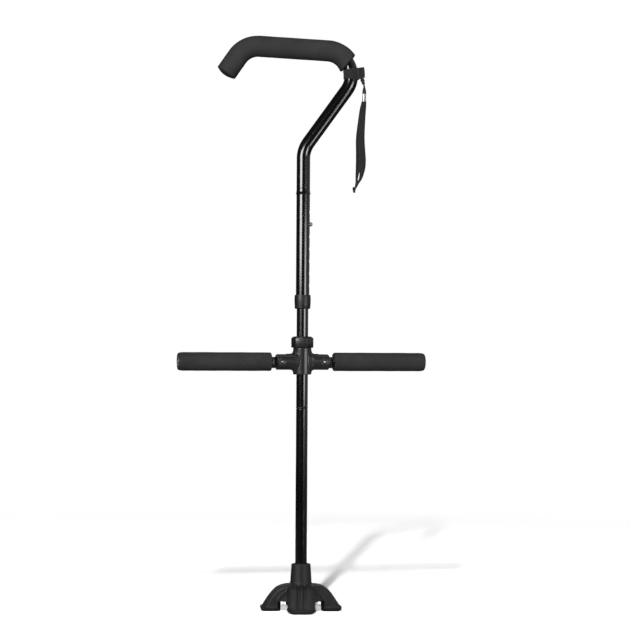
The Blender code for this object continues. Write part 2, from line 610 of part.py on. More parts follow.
def make_bar(side):
    """Hinge pin, tongue, tube, foam and end plug of one side bar, along its own +X."""
    axis = bar_axes[side]
    seat = ARM_RADIUS - PIN_RECESS + FIT
    head = [(PIN_HEAD_RADIUS * cos(t), seat + PIN_HEAD_HEIGHT * sin(t)) for t in steps_to_top(4)]
    head[-1] = (0, seat + PIN_HEAD_HEIGHT)
    upper = [(PIN_RADIUS, seat), *head]
    lower = [(r, -z) for r, z in reversed(upper)]
    at = (axis.location.x, 0, 0)
    pin = turned([*lower, *upper], FINE_SIDES)
    piece(f"{side}_hinge_pin", pin, BARE_STEEL, hub_axis, at, (pi / 2, 0, 0))
    make_lug(side, axis)
    along = (0, pi / 2, 0)
    tube = sleeve(BAR_RADIUS - BAR_WALL, BAR_RADIUS, GRIP_LENGTH - FIT)
    piece(f"{side}_bar_tube", tube, BARE_ALUMINIUM, axis, (GRIP_START + FIT, 0, 0), along)
    back = arc((grip_radius - GRIP_ROUND, GRIP_ROUND), GRIP_ROUND, -pi / 2, 0, 2)
    tip = [
        (grip_radius - GRIP_END_STEP * (1 - cos(t)), GRIP_LENGTH - GRIP_END_LENGTH * (1 - sin(t)))
        for t in steps_to_top(4)
    ]
    grip = turned([(grip_bore, 0), *back, *tip, (grip_bore, GRIP_LENGTH)])
    piece(f"{side}_bar_grip", grip, FOAM, axis, (GRIP_START, 0, 0), along)
    plug_at = (GRIP_START + GRIP_LENGTH - BAR_PLUG_SINK - BAR_PLUG_LENGTH, 0, 0)
    plug = rod(bar_plug_radius, BAR_PLUG_LENGTH, SIDES)
    piece(f"{side}_bar_plug", plug, BLACK_PLASTIC, axis, plug_at, along)


def make_lug(side, axis):
    """Tongue round the pin, a half-round heel that stops on the arm's end, and a spigot in the tube."""
    out = GRIP_START - FIT
    flat = sqrt(LUG_NOSE**2 - lug_top**2)
    nose = arc((0, 0), LUG_NOSE, pi / 2 + atan(flat / lug_top), 3 * pi / 2, 8)
    tongue = plate([*nose, (out, -LUG_NOSE), (out, lug_top)], LUG_THICKNESS / 2)
    lug = piece(f"{side}_hinge_lug", tongue, BLACK_PLASTIC, axis)
    heel_start = ARM_TIP + FIT
    half_angle = acos(heel_start / (ARM_RADIUS - FIT))
    rim = arc((0, 0), ARM_RADIUS - FIT, -pi / 2 - half_angle, -pi / 2 + half_angle, 10)
    heel = loft([[(x, y, z) for y, z in rim] for x in (heel_start, out)])
    boolean(lug, f"{side}_heel", heel, "UNION")
    spigot = rod(bar_plug_radius, LUG_SPIGOT + BITE, SIDES)
    boolean(lug, f"{side}_spigot", spigot, "UNION", (out - BITE, 0, 0), (0, pi / 2, 0))
    hole = rod(PIN_RADIUS + FIT, LUG_THICKNESS + 2 * BITE)
    at = (0, -LUG_THICKNESS / 2 - BITE, 0)
    boolean(lug, f"{side}_lug_hole", hole, location=at, rotation=(-pi / 2, 0, 0))


def handle_route():
    """Corner points of the bent tube in the handle's frame, from its free end down to the stem."""
    base = handle_z - ring_z
    stem = Vector((0, 0, base + handle_straight + STEM_BEND_RADIUS * tan(SLANT_ANGLE / 2)))
    front = stem + Vector((HANDLE_OFFSET, 0, HANDLE_OFFSET / tan(SLANT_ANGLE)))
    back = front + HANDLE_TOP_LENGTH * Vector((-cos(GRIP_SLOPE), 0, sin(GRIP_SLOPE)))
    end = back - HANDLE_END_LENGTH * Vector((cos(HANDLE_END_ANGLE), 0, sin(HANDLE_END_ANGLE)))
    return [end, back, front, stem, Vector((0, 0, base))]


class Bend:
    """One bend of the route: where it starts, what it turns round and how far."""

    def __init__(self, before, corner, after, radius):
        into, out = (corner - before).normalized(), (after - corner).normalized()
        self.turn = into.angle(out)
        self.set_back = radius * tan(self.turn / 2)
        self.start = corner - into * self.set_back
        self.axis = into.cross(out).normalized()
        self.centre = self.start + self.axis.cross(into) * radius
        self.into = into
        self.steps = max(2, round(self.turn / BEND_STEP))

    def point(self, turn):
        """Point on the tube's axis this far round the bend."""
        return self.centre + Matrix.Rotation(turn, 3, self.axis) @ (self.start - self.centre)


route = handle_route()
bend_radii = (END_BEND_RADIUS, FRONT_BEND_RADIUS, STEM_BEND_RADIUS)
bends = [Bend(*route[i : i + 3], bend_radii[i]) for i in range(3)]


def ring_edges(bm, radii, centre, direction, sides):
    """Concentric circles square to a direction."""
    facing = direction.to_track_quat("Z", "Y").to_matrix().to_4x4()
    matrix = Matrix.Translation(centre) @ facing
    edges = []
    for radius in radii:
        made = bmesh.ops.create_circle(bm, segments=sides, radius=radius, matrix=matrix)["verts"]
        edges += [e for e in bm.edges if e.verts[0] in made and e.verts[1] in made]
    return edges


def run(bm, edges, step):
    """Draws the loops out along a straight run."""
    grown = bmesh.ops.extrude_edge_only(bm, edges=edges)["geom"]
    moved = [v for v in grown if isinstance(v, bmesh.types.BMVert)]
    bmesh.ops.translate(bm, vec=step, verts=moved)
    return [e for e in grown if isinstance(e, bmesh.types.BMEdge)]


def swing(bm, edges, bend, turn, steps):
    """Draws the loops round a bend."""
    verts = list({v for e in edges for v in e.verts})
    spun = bmesh.ops.spin(
        bm, geom=verts + edges, cent=bend.centre, axis=bend.axis, angle=turn, steps=steps
    )
    return [e for e in spun["geom_last"] if isinstance(e, bmesh.types.BMEdge)]


def make_handle_tube():
    bm = bmesh.new()
    edges = ring_edges(bm, (handle_bore, outer_radius), route[0], bends[0].into, SIDES - 8)
    bmesh.ops.bridge_loops(bm, edges=edges)
    here = route[0]
    for bend in bends:
        edges = run(bm, edges, bend.start - here)
        edges = swing(bm, edges, bend, bend.turn, bend.steps)
        here = bend.point(bend.turn)
    edges = run(bm, edges, route[-1] - here)
    bmesh.ops.bridge_loops(bm, edges=edges)
    bmesh.ops.recalc_face_normals(bm, faces=bm.faces)
    piece("handle_tube", bm, BLACK_GLOSS, handle_section)
    facing = bends[0].into.to_track_quat("Z", "Y").to_euler()
    plug = [(0, -HANDLE_PLUG_FLANGE), (outer_radius, -HANDLE_PLUG_FLANGE), (outer_radius, -FIT)]
    plug += [(handle_bore - FIT, -FIT), (handle_bore - FIT, HANDLE_PLUG_LENGTH), (0, HANDLE_PLUG_LENGTH)]
    piece("handle_plug", turned(plug), BLACK_PLASTIC, handle_section, route[0], facing)


def make_handle_grip():
    """Foam sleeve with a closed, domed end, cut on a skew part way round the front bend."""
    bm = bmesh.new()
    heading = bends[0].into
    inside = route[0] - heading * (HANDLE_PLUG_FLANGE + FIT)
    first = ring_edges(bm, (foam_bore, foam_radius), inside, heading, SIDES - 4)
    half = len(first) // 2
    bmesh.ops.edgeloop_fill(bm, edges=first[:half])
    back = run(bm, first[half:], -heading * FOAM_END_WALL)
    cap_radius = (foam_radius**2 + FOAM_DOME**2) / (2 * FOAM_DOME)
    flank = foam_radius
    for share in (0.7, 0.35):
        radius = share * foam_radius
        rise = sqrt(cap_radius**2 - radius**2) - sqrt(cap_radius**2 - flank**2)
        back = run(bm, back, -heading * rise)
        verts = list({v for e in back for v in e.verts})
        middle = sum((v.co for v in verts), Vector()) / len(verts)
        bmesh.ops.scale(bm, vec=(radius / flank,) * 3, space=Matrix.Translation(-middle), verts=verts)
        flank = radius
    bmesh.ops.edgeloop_fill(bm, edges=back)
    edges = run(bm, first, bends[0].start - inside)
    edges = swing(bm, edges, bends[0], bends[0].turn, bends[0].steps)
    edges = run(bm, edges, bends[1].start - bends[0].point(bends[0].turn))
    spare = FOAM_TURN + FOAM_SKEW
    swing(bm, edges, bends[1], spare, round(spare / BEND_STEP))
    middle = bends[1].point(FOAM_TURN)
    normal = Matrix.Rotation(FOAM_TURN - FOAM_SKEW, 3, bends[1].axis) @ bends[1].into
    everything = bm.verts[:] + bm.edges[:] + bm.faces[:]
    bmesh.ops.bisect_plane(bm, geom=everything, plane_co=middle, plane_no=normal, clear_outer=True)
    bmesh.ops.bridge_loops(bm, edges=[e for e in bm.edges if e.is_boundary])
    bmesh.ops.recalc_face_normals(bm, faces=bm.faces)
    piece("handle_grip", bm, FOAM, handle_section)


def make_strap():
    """Webbing band round the front bend, and the chain of pieces that hangs from its tab."""
    bend = bends[1]
    bm = bmesh.new()
    edges = ring_edges(bm, (band_bore, band_radius), bend.start, bend.into, SIDES - 8)
    span = BAND_HEIGHT / FRONT_BEND_RADIUS
    first_turn = Matrix.Rotation(band_turn - span / 2, 3, bend.axis)
    bmesh.ops.rotate(bm, cent=bend.centre, matrix=first_turn, verts=bm.verts)
    bmesh.ops.bridge_loops(bm, edges=edges)
    bmesh.ops.bridge_loops(bm, edges=swing(bm, edges, bend, span, 3))
    bmesh.ops.recalc_face_normals(bm, faces=bm.faces)
    piece("strap_band", bm, WEBBING, handle_section)
    tab_x = bend.centre.x + FRONT_BEND_RADIUS + band_radius + FIT
    tab_z = bend.centre.z + TAB_RAISE - TAB_HEIGHT / 2
    hook = BAND_WALL + FIT
    band_top = (FRONT_BEND_RADIUS + band_radius) * cos(GRIP_SLOPE + band_turn - span / 2)
    hook_z = bend.centre.z + band_top + FIT - tab_z
    outline = [(0, 0), (TAB_LENGTH, 0), (TAB_LENGTH, TAB_HEIGHT)]
    outline += [(-hook, TAB_HEIGHT), (-hook, hook_z), (0, hook_z)]
    tab = plate(outline, TAB_THICKNESS / 2)
    long_edges = [e for e in tab.edges if abs(e.verts[0].co.y - e.verts[1].co.y) < 1e-6]
    piece("strap_tab", rounded(tab, long_edges, TAB_ROUND), WEBBING, handle_section, (tab_x, 0, tab_z))
    hang_x = tab_x + HANG_REACH
    z = tab_z - FIT - LINK_LENGTH
    link = [(0, 0), (LINK_RADIUS, 0), (LINK_RADIUS + LINK_FLARE, LINK_LENGTH), (0, LINK_LENGTH)]
    piece("strap_link", turned(link, 12), WEBBING, handle_section, (hang_x, 0, z))
    z -= FIT + BEAD_LENGTH
    piece("strap_bead", egg(BEAD_RADIUS, BEAD_LENGTH), BLACK_PLASTIC, handle_section, (hang_x, 0, z))
    z -= FIT + FERRULE_LENGTH
    ferrule = rod(FERRULE_RADIUS, FERRULE_LENGTH)
    rims = [e for e in ferrule.edges if abs(e.verts[0].co.z - e.verts[1].co.z) < 1e-6]
    rounded(ferrule, rims, FERRULE_ROUND)
    piece("strap_ferrule", ferrule, BARE_STEEL, handle_section, (hang_x, 0, z))
    z -= FIT
    rings = []
    for drop, shift, width, depth in STRAP_SECTIONS:
        rings.append(oval((shift, 0, -drop), width / 2, depth / 2, FINE_SIDES))
    piece("wrist_strap", loft(rings), WEBBING, handle_section, (hang_x, 0, z))
    z -= STRAP_SECTIONS[-1][0] + FIT + KNOT_LENGTH
    knot = egg(KNOT_RADIUS, KNOT_LENGTH)
    piece("strap_knot", knot, WEBBING, handle_section, (hang_x + KNOT_SHIFT, 0, z))


def egg(radius, length):
    """Bead with flat ends a third of its width, so that it seats on its neighbours."""
    turns = [pi * i / 6 for i in range(7)]
    side = [(radius * (1 + 2 * sin(t)) / 3, length * (1 - cos(t)) / 2) for t in turns]
    return turned([(0, 0), *side, (0, length)], FINE_SIDES)


make_foot()
make_middle_section(make_lower_section())
make_outer_section()
make_hub()
for bar_side in bar_axes:
    make_bar(bar_side)
make_handle_tube()
make_handle_grip()
make_strap()
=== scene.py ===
# %% [markdown]
# # A walking cane with a four-footed rubber tip
#
# The frame holds the cane's plain solids at their true size, already joined by slides and hinges.
# This lesson gives each solid the surface of the real thing: lacquered tubes, closed-cell foam, moulded
# rubber and woven webbing. The solids could simply be repainted, but their facets would show in the
# gloss, so those that are seen are made again with finer meshes that sit where the solids are.

# %% Load the frame
import json
from math import asin, atan2, ceil, copysign, cos, pi, radians, sin, sqrt, tan

import bmesh
import bpy
from mathutils import Matrix, Vector, noise


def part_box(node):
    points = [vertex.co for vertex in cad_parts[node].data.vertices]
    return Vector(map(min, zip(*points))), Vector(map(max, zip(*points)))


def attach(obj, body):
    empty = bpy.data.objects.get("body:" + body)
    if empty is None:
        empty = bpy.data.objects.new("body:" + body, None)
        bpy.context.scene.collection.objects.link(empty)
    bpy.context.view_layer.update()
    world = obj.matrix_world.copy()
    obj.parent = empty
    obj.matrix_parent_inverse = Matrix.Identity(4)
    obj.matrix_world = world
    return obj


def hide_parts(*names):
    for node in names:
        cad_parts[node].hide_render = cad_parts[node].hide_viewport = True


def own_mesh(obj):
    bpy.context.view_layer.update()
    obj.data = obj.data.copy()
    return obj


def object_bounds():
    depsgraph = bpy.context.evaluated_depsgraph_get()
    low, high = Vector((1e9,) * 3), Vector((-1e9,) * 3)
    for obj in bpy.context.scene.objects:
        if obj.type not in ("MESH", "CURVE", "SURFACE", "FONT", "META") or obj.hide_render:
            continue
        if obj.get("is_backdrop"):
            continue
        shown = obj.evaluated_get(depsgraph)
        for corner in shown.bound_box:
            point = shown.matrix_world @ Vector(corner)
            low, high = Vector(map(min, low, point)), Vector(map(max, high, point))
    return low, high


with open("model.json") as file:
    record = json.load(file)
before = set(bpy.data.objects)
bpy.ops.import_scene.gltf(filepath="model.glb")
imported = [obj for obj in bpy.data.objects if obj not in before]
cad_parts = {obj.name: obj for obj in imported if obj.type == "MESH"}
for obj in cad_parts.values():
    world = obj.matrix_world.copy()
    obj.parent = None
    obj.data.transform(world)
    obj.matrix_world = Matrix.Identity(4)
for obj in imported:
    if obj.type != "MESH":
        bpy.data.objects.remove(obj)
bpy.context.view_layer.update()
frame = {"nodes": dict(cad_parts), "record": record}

# %% [markdown]
# ## Camera
#
# A product photographer shoots a tall, thin object from far away with a long lens, level with its middle,
# so that its uprights stay parallel. The camera could be aimed at the middle of the cane, but then it
# would tilt. Here it stays level, and the lens is shifted to put the cane where it stands in the picture.

# %% Camera
IMAGE_PIXELS = 630
METRES_PER_PIXEL = 0.00163
CAMERA_DISTANCE = 3.8
CAMERA_HEIGHT = 0.457
CAMERA_ROLL = radians(0.35)
SHAFT_COLUMN = 302.4
FLOOR_ROW = 610.1
SENSOR_WIDTH = 36.0

camera = bpy.data.objects.new("camera", bpy.data.cameras.new("camera"))
bpy.context.scene.collection.objects.link(camera)
bpy.context.scene.camera = camera
camera.data.sensor_width = SENSOR_WIDTH
camera.data.lens = SENSOR_WIDTH * CAMERA_DISTANCE / (IMAGE_PIXELS * METRES_PER_PIXEL)
eye_row = FLOOR_ROW - CAMERA_HEIGHT / METRES_PER_PIXEL
camera.data.shift_x = 0.5 - SHAFT_COLUMN / IMAGE_PIXELS
camera.data.shift_y = eye_row / IMAGE_PIXELS - 0.5
looking_along_y = Matrix.Rotation(pi / 2, 4, "X") @ Matrix.Rotation(CAMERA_ROLL, 4, "Z")
camera.matrix_world = Matrix.Translation((0, -CAMERA_DISTANCE, CAMERA_HEIGHT)) @ looking_along_y
print("lens", round(camera.data.lens, 1), "mm, shift", round(camera.data.shift_x, 3))

# %% [markdown]
# ## Light
#
# Black gloss shows little but what it mirrors, so the lamps are placed by the streaks they leave on the
# shaft. A round tube turns a softbox into an upright band: the wide one on the left ends half way down,
# the lower one on the right covers the middle, and a low card lights the slanted run. Matt pieces need
# one clear direction instead. The same lamps could serve both, but they would either grey the tubes or
# flatten the foam. So these three show only in gloss, and three others light only matt skin: the main
# lamp, which casts the shadow, a soft one near the camera that rounds the foam, and one without shadow
# for the back. A weak one overhead serves both.

# %% Lamps
SHAFT_MIDDLE = Vector((0, 0, 0.5))


def round_the_cane(azimuth, distance, height):
    """A place at a distance from the shaft, by its azimuth from the camera's side."""
    return Vector((distance * sin(azimuth), -distance * cos(azimuth), height))


LAMPS = {
    # place, aim, width, height, radiance, and what it lights
    "left_softbox": (
        round_the_cane(radians(-37), 2.1, 0.96), Vector((0, 0, 0.96)), 1.25, 0.74, 10.5, "gloss",
    ),
    "right_strip": (
        round_the_cane(radians(45), 2.0, 0.50), Vector((0, 0, 0.50)), 0.95, 0.44, 6.0, "gloss",
    ),
    "low_card": (Vector((1.95, -1.72, -0.53)), Vector((0.06, 0, 0.83)), 0.9, 0.6, 5.0, "gloss"),
    "top_softbox": (Vector((0, -0.5, 2.5)), SHAFT_MIDDLE, 1.4, 1.2, 1.0, "both"),
    "main_lamp": (Vector((-0.48, -4.2, 2.9)), SHAFT_MIDDLE, 0.10, 0.42, 1070.0, "matt"),
    "front_lamp": (Vector((-0.2, -3.9, 0.62)), SHAFT_MIDDLE, 0.8, 0.8, 38.0, "matt"),
    "back_lamp": (Vector((0.3, 4.2, -0.35)), SHAFT_MIDDLE, 1.5, 0.8, 26.0, "matt"),
}


def add_lamp(name, spot, aim, width, height, radiance, lights):
    """An area lamp with its power worked out from its radiance."""
    lamp = bpy.data.lights.new(name, "AREA")
    lamp.shape = "RECTANGLE"
    lamp.size, lamp.size_y = width, height
    lamp.energy = radiance * pi * width * height
    holder = bpy.data.objects.new(name, lamp)
    bpy.context.scene.collection.objects.link(holder)
    facing = (aim - spot).to_track_quat("-Z", "Y").to_matrix().to_4x4()
    holder.matrix_world = Matrix.Translation(spot) @ facing
    holder.visible_diffuse = lights != "gloss"
    holder.visible_glossy = lights != "matt"
    return lamp


lamps = {name: add_lamp(name, *settings) for name, settings in LAMPS.items()}
lamps["back_lamp"].use_shadow = False  # it stands lower than the floor, and reaches the cane through it
print("lamps:", {name: round(lamp.energy, 1) for name, lamp in lamps.items()})

# %% [markdown]
# ## Room
#
# The room is white to the camera. A plain white world would do that too, but its light would wash out the
# black. So Light Path tells the rays apart: matt skin gets only a soft fill, and gloss sees a room that is
# white behind the cane, pale on the right and dim behind the camera, as in a studio.


# %% Node helpers
def place(tree, kind, sockets=None, **settings):
    """Adds a node. A socket that is given another node's output gets a link, else a value."""
    made = tree.nodes.new(kind)
    for name, value in settings.items():
        setattr(made, name, value)
    for name, value in (sockets or {}).items():
        if isinstance(value, bpy.types.NodeSocket):
            tree.links.new(value, made.inputs[name])
        else:
            made.inputs[name].default_value = value
    return made


def sums(tree, operation, *values):
    """One Math node on numbers or sockets."""
    return place(tree, "ShaderNodeMath", dict(enumerate(values)), operation=operation).outputs[0]


def span(tree, value, low, high, to_low, to_high):
    """Stretches a value from one range to another, clamped."""
    ends = {"Value": value, "From Min": low, "From Max": high, "To Min": to_low, "To Max": to_high}
    return place(tree, "ShaderNodeMapRange", ends).outputs["Result"]


print("node helpers:", [helper.__name__ for helper in (place, sums, span)])

# %% World
FILL = 0.03  # what the room gives to matt surfaces
DIM_SIDE = 0.04  # what gloss sees of the room at the left and behind the camera
PALE_SIDE = 0.32  # and at the right
PALE_REACH = (0.3, 0.9)  # how far to the right gloss has to look, for the first and the full paleness
BACKDROP_REACH = (0.88, 1.0)  # and how squarely to the back, for the white backdrop
TABLE_EDGE = (-0.08, -0.03)  # the pale side ends where gloss looks down this steeply
TABLE_SHARE = 0.1  # what is left of it below

scene = bpy.context.scene
scene.view_settings.view_transform = "Standard"
scene.world = bpy.data.worlds.new("studio")
scene.world.use_nodes = True
room = scene.world.node_tree
ray = place(room, "ShaderNodeLightPath").outputs
heading = place(room, "ShaderNodeTexCoord").outputs["Generated"]
heading = place(room, "ShaderNodeSeparateXYZ", {"Vector": heading}).outputs
backdrop = span(room, heading["Y"], *BACKDROP_REACH, 0.0, 1.0)
right_wall = span(room, heading["X"], *PALE_REACH, DIM_SIDE, PALE_SIDE)
above_table = span(room, heading["Z"], *TABLE_EDGE, TABLE_SHARE, 1.0)
right_wall = sums(room, "MULTIPLY", right_wall, above_table)
mirrored = sums(room, "MAXIMUM", backdrop, right_wall)
is_mirror = sums(room, "MAXIMUM", ray["Is Glossy Ray"], ray["Is Transmission Ray"])
seen_in_gloss = sums(room, "MULTIPLY", mirrored, is_mirror)
fill = sums(room, "MULTIPLY", sums(room, "SUBTRACT", 1.0, is_mirror), FILL)
level = sums(room, "MAXIMUM", sums(room, "ADD", seen_in_gloss, fill), ray["Is Camera Ray"])
room.links.new(level, room.nodes["Background"].inputs["Strength"])
room.nodes["Background"].inputs["Color"].default_value = (1, 1, 1, 1)
print("world nodes:", len(room.nodes))

# %% [markdown]
# ## Floor
#
# The cane stands on a disc of white paper that shows its shadow and fades to plain white further out, so
# no edge is seen. In a studio the paper gets more light than the object. Lamps that did so here would
# spoil the gloss, so the paper is overexposed for the camera alone. Its gain and a faint glow change with
# the distance from the foot, which thins the shadow as it runs back.

# %% Floor
FLOOR_RADIUS = 2.3
FLOOR_CENTRE = Vector((0, 1.7, -0.0002))
PAPER_TONE = (0.90, 0.92)
PAPER_SPECKS = 60.0  # per metre
MID_TONES = (0.3, 0.7)  # a noise spends most of its range between these
FLOOR_GAIN = 2.75  # what the camera sees of the paper near the foot
FLOOR_GAIN_FAR = 0.5  # share of that which is left away from the foot
GAIN_DROPS = (0.33, 0.62)  # between these distances
LAMP_FALLS_OFF = (0.2, 1.4)  # where the main lamp gets weaker
LAMP_MADE_UP = 1.7  # and the gain that makes up for it
FLOOR_LIFT = 0.04  # glow that the camera sees in the shadow near the foot
FLOOR_LIFT_FAR = 0.50  # and further out
SHADOW_THINS = (0.33, 0.70)
FLOOR_LIFT_ARCH = 0.42  # and under the arches of the foot
ARCHES_END = (0.05, 0.09)
FLOOR_DIM = 0.35  # what the cane sees of the paper
PAPER_ENDS = (1.35, 2.1)


def mesh_of(bm, name):
    """A mesh from a bmesh, which is freed."""
    mesh = bpy.data.meshes.new(name)
    bm.to_mesh(mesh)
    bm.free()
    return mesh


white_floor = bpy.data.materials.new("white_sweep")
white_floor.use_nodes = True
tree = white_floor.node_tree
tree.nodes.clear()
point = place(tree, "ShaderNodeTexCoord").outputs["Object"]
away = place(tree, "ShaderNodeVectorMath", {0: point}, operation="LENGTH").outputs["Value"]
paper_speck = place(tree, "ShaderNodeTexNoise", {"Vector": point, "Scale": PAPER_SPECKS}).outputs["Fac"]
paper_tone = span(tree, paper_speck, *MID_TONES, *PAPER_TONE)
seen = place(tree, "ShaderNodeLightPath").outputs["Is Camera Ray"]
exposure = span(tree, seen, 0.0, 1.0, FLOOR_DIM, FLOOR_GAIN)
exposure = sums(tree, "MULTIPLY", exposure, span(tree, away, *LAMP_FALLS_OFF, 1.0, LAMP_MADE_UP))
exposure = sums(tree, "MULTIPLY", exposure, span(tree, away, *GAIN_DROPS, 1.0, FLOOR_GAIN_FAR))
paper = place(tree, "ShaderNodeBsdfDiffuse", {"Color": sums(tree, "MULTIPLY", paper_tone, exposure)})
thinning = span(tree, away, *SHADOW_THINS, FLOOR_LIFT, FLOOR_LIFT_FAR)
under_arches = span(tree, away, *ARCHES_END, FLOOR_LIFT_ARCH, 0.0)
lift = sums(tree, "MULTIPLY", seen, sums(tree, "MAXIMUM", thinning, under_arches))
lifted = place(tree, "ShaderNodeEmission", {"Color": (1, 1, 1, 1), "Strength": lift})
near = place(tree, "ShaderNodeAddShader", {0: paper.outputs[0], 1: lifted.outputs[0]})
far = place(tree, "ShaderNodeEmission", {"Color": (1, 1, 1, 1), "Strength": seen})
faded = span(tree, away, *PAPER_ENDS, 0.0, 1.0)
mixed = place(tree, "ShaderNodeMixShader", {0: faded, 1: near.outputs[0], 2: far.outputs[0]})
place(tree, "ShaderNodeOutputMaterial", {"Surface": mixed.outputs[0]})

bm = bmesh.new()
bmesh.ops.create_circle(
    bm, cap_ends=True, segments=96, radius=FLOOR_RADIUS, matrix=Matrix.Translation(FLOOR_CENTRE)
)
floor_mesh = mesh_of(bm, "floor")
floor_mesh.materials.append(white_floor)
floor = bpy.data.objects.new("floor", floor_mesh)
scene.collection.objects.link(floor)
floor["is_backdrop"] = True
print("floor disc", FLOOR_RADIUS, "m, front edge at y =", round(FLOOR_CENTRE.y - FLOOR_RADIUS, 2))

# %% [markdown]
# ## Shared effects
#
# Four effects give the finishes their detail: the fine grain that a mould or a spray leaves, the long rub
# marks of parts that slide, the dust that settles on upward faces, and the over-and-under of a weave. Each
# could be copied into the materials that need it, but a node group is built once and takes its own values
# each time.


# %% Effect groups
def effect(name, inputs, outputs):
    """An empty node group with named sockets, with what it is given and what it hands back."""
    tree = bpy.data.node_groups.new(name, "ShaderNodeTree")
    for label in inputs:
        kind = "NodeSocketVector" if label in ("Vector", "Normal") else "NodeSocketFloat"
        tree.interface.new_socket(label, in_out="INPUT", socket_type=kind)
    for label in outputs:
        tree.interface.new_socket(label, in_out="OUTPUT", socket_type="NodeSocketFloat")
    return tree, tree.nodes.new("NodeGroupInput").outputs, tree.nodes.new("NodeGroupOutput").inputs


CLOUD_SCALE = 0.03  # how much coarser the clouds of tone are than the pits
RUB_STRETCH = (900, 900, 16)  # rub marks are fine across the shaft and long along it
RUB_PATCHES = 35.0
DUST_FLECKS = 420.0

grain, given, results = effect("surface_grain", ("Vector", "Scale"), ("Height", "Tone"))
pits = {"Vector": given["Vector"], "Scale": given["Scale"], "Detail": 3.0, "Roughness": 0.62}
pits = place(grain, "ShaderNodeTexNoise", pits)
clouds = {"Vector": given["Vector"], "Scale": sums(grain, "MULTIPLY", given["Scale"], CLOUD_SCALE)}
clouds = place(grain, "ShaderNodeTexNoise", clouds)
grain.links.new(pits.outputs["Fac"], results["Height"])
grain.links.new(clouds.outputs["Fac"], results["Tone"])

rub_marks, given, results = effect("rub_marks", ("Vector", "Amount"), ("Mask",))
drawn = place(rub_marks, "ShaderNodeMapping", {"Vector": given["Vector"], "Scale": RUB_STRETCH})
lines = place(rub_marks, "ShaderNodeTexNoise", {"Vector": drawn.outputs["Vector"], "Scale": 1.0})
patch = place(rub_marks, "ShaderNodeTexNoise", {"Vector": given["Vector"], "Scale": RUB_PATCHES})
fine_lines = span(rub_marks, lines.outputs["Fac"], 0.55, 0.75, 0.0, 1.0)
patches = span(rub_marks, patch.outputs["Fac"], 0.45, 0.70, 0.0, 1.0)
worn = sums(rub_marks, "MULTIPLY", sums(rub_marks, "MULTIPLY", fine_lines, patches), given["Amount"])
rub_marks.links.new(worn, results["Mask"])

dust, given, results = effect("settled_dust", ("Vector", "Normal", "Amount"), ("Mask",))
up = place(dust, "ShaderNodeSeparateXYZ", {"Vector": given["Normal"]}).outputs["Z"]
fleck = {"Vector": given["Vector"], "Scale": DUST_FLECKS, "Detail": 4.0}
fleck = place(dust, "ShaderNodeTexNoise", fleck).outputs["Fac"]
lying = sums(dust, "MULTIPLY", span(dust, up, 0.2, 1.0, 0.0, 1.0), fleck)
dust.links.new(sums(dust, "MULTIPLY", lying, given["Amount"]), results["Mask"])
print("effect groups:", [group.name for group in (grain, rub_marks, dust)])

# %% [markdown]
# A weave is the longest of the four. Threads run across and along the cloth, and each rises where it
# passes over the other. An image would show that too, but sines and a step make it at any size: the step
# shifts each warp thread against the one beside it, which is what sets over against under.

# %% Weave group
weave, given, results = effect("plain_weave", ("Vector", "Across", "Along"), ("Height", "Tone"))
cloth = place(weave, "ShaderNodeSeparateXYZ", {"Vector": given["Vector"]}).outputs
warp_at = sums(weave, "MULTIPLY", cloth["X"], given["Across"])
weft_at = sums(weave, "MULTIPLY", cloth["Y"], given["Along"])
phase = sums(weave, "MULTIPLY", sums(weave, "ADD", weft_at, sums(weave, "FLOOR", warp_at)), pi)
over = sums(weave, "MULTIPLY_ADD", sums(weave, "COSINE", phase), 0.5, 0.5)
warp_round, weft_round = (
    sums(weave, "ABSOLUTE", sums(weave, "SINE", sums(weave, "MULTIPLY", thread, pi)))
    for thread in (warp_at, weft_at)
)
warp_lift = sums(weave, "MULTIPLY", warp_round, over)
weft_lift = sums(weave, "MULTIPLY", weft_round, sums(weave, "SUBTRACT", 1.0, over))
weave.links.new(sums(weave, "MAXIMUM", warp_lift, weft_lift), results["Height"])
weave.links.new(over, results["Tone"])
print("weave nodes:", len(weave.nodes))

# %% [markdown]
# ## Finishes of the hard pieces
#
# Tubes are sprayed with black enamel under a clear coat, moulded pieces are black nylon with a fine
# grain, and pins, button and crimp are bright plated steel. One flat colour would make them all look
# alike, so tone, roughness and relief each follow an effect group, while what stays the same all over,
# such as the clear coat's own roughness, is set on the shader itself.


# %% Finish helpers
def new_finish(name, **constants):
    """A material with its shader's constant sockets set. Returns its tree, shader and coordinates."""
    material = bpy.data.materials.new(name)
    material.use_nodes = True
    shader = material.node_tree.nodes["Principled BSDF"]
    for label, value in constants.items():
        shader.inputs[label.replace("_", " ").title().replace("Ior", "IOR")].default_value = value
    coords = place(material.node_tree, "ShaderNodeTexCoord").outputs
    return material, material.node_tree, shader, coords


def use(tree, group, **inputs):
    """Places an effect group in a material. Returns its outputs."""
    return place(tree, "ShaderNodeGroup", inputs, node_tree=group).outputs


def tones(tree, value, dark, light, low=MID_TONES[0], high=MID_TONES[1]):
    """A colour that runs between two greys or colours with a value."""
    ramp = place(tree, "ShaderNodeValToRGB", {"Fac": value})
    ends = ramp.color_ramp.elements
    ends[0].position, ends[1].position = low, high
    ends[0].color, ends[1].color = (*dark, 1), (*light, 1)
    return ramp.outputs["Color"]


def mix_colour(tree, mask, below, above):
    """Lays one colour over another by a mask."""
    mix = place(tree, "ShaderNodeMix", {0: mask, 6: below, 7: above}, data_type="RGBA")
    return mix.outputs[2]


def finished(material, tree, shader, colour, roughness, height, strength, depth):
    """Feeds colour, roughness and a height to the shader."""
    bump = place(tree, "ShaderNodeBump", {"Height": height, "Strength": strength, "Distance": depth})
    tree.links.new(colour, shader.inputs["Base Color"])
    tree.links.new(roughness, shader.inputs["Roughness"])
    tree.links.new(bump.outputs["Normal"], shader.inputs["Normal"])
    return material


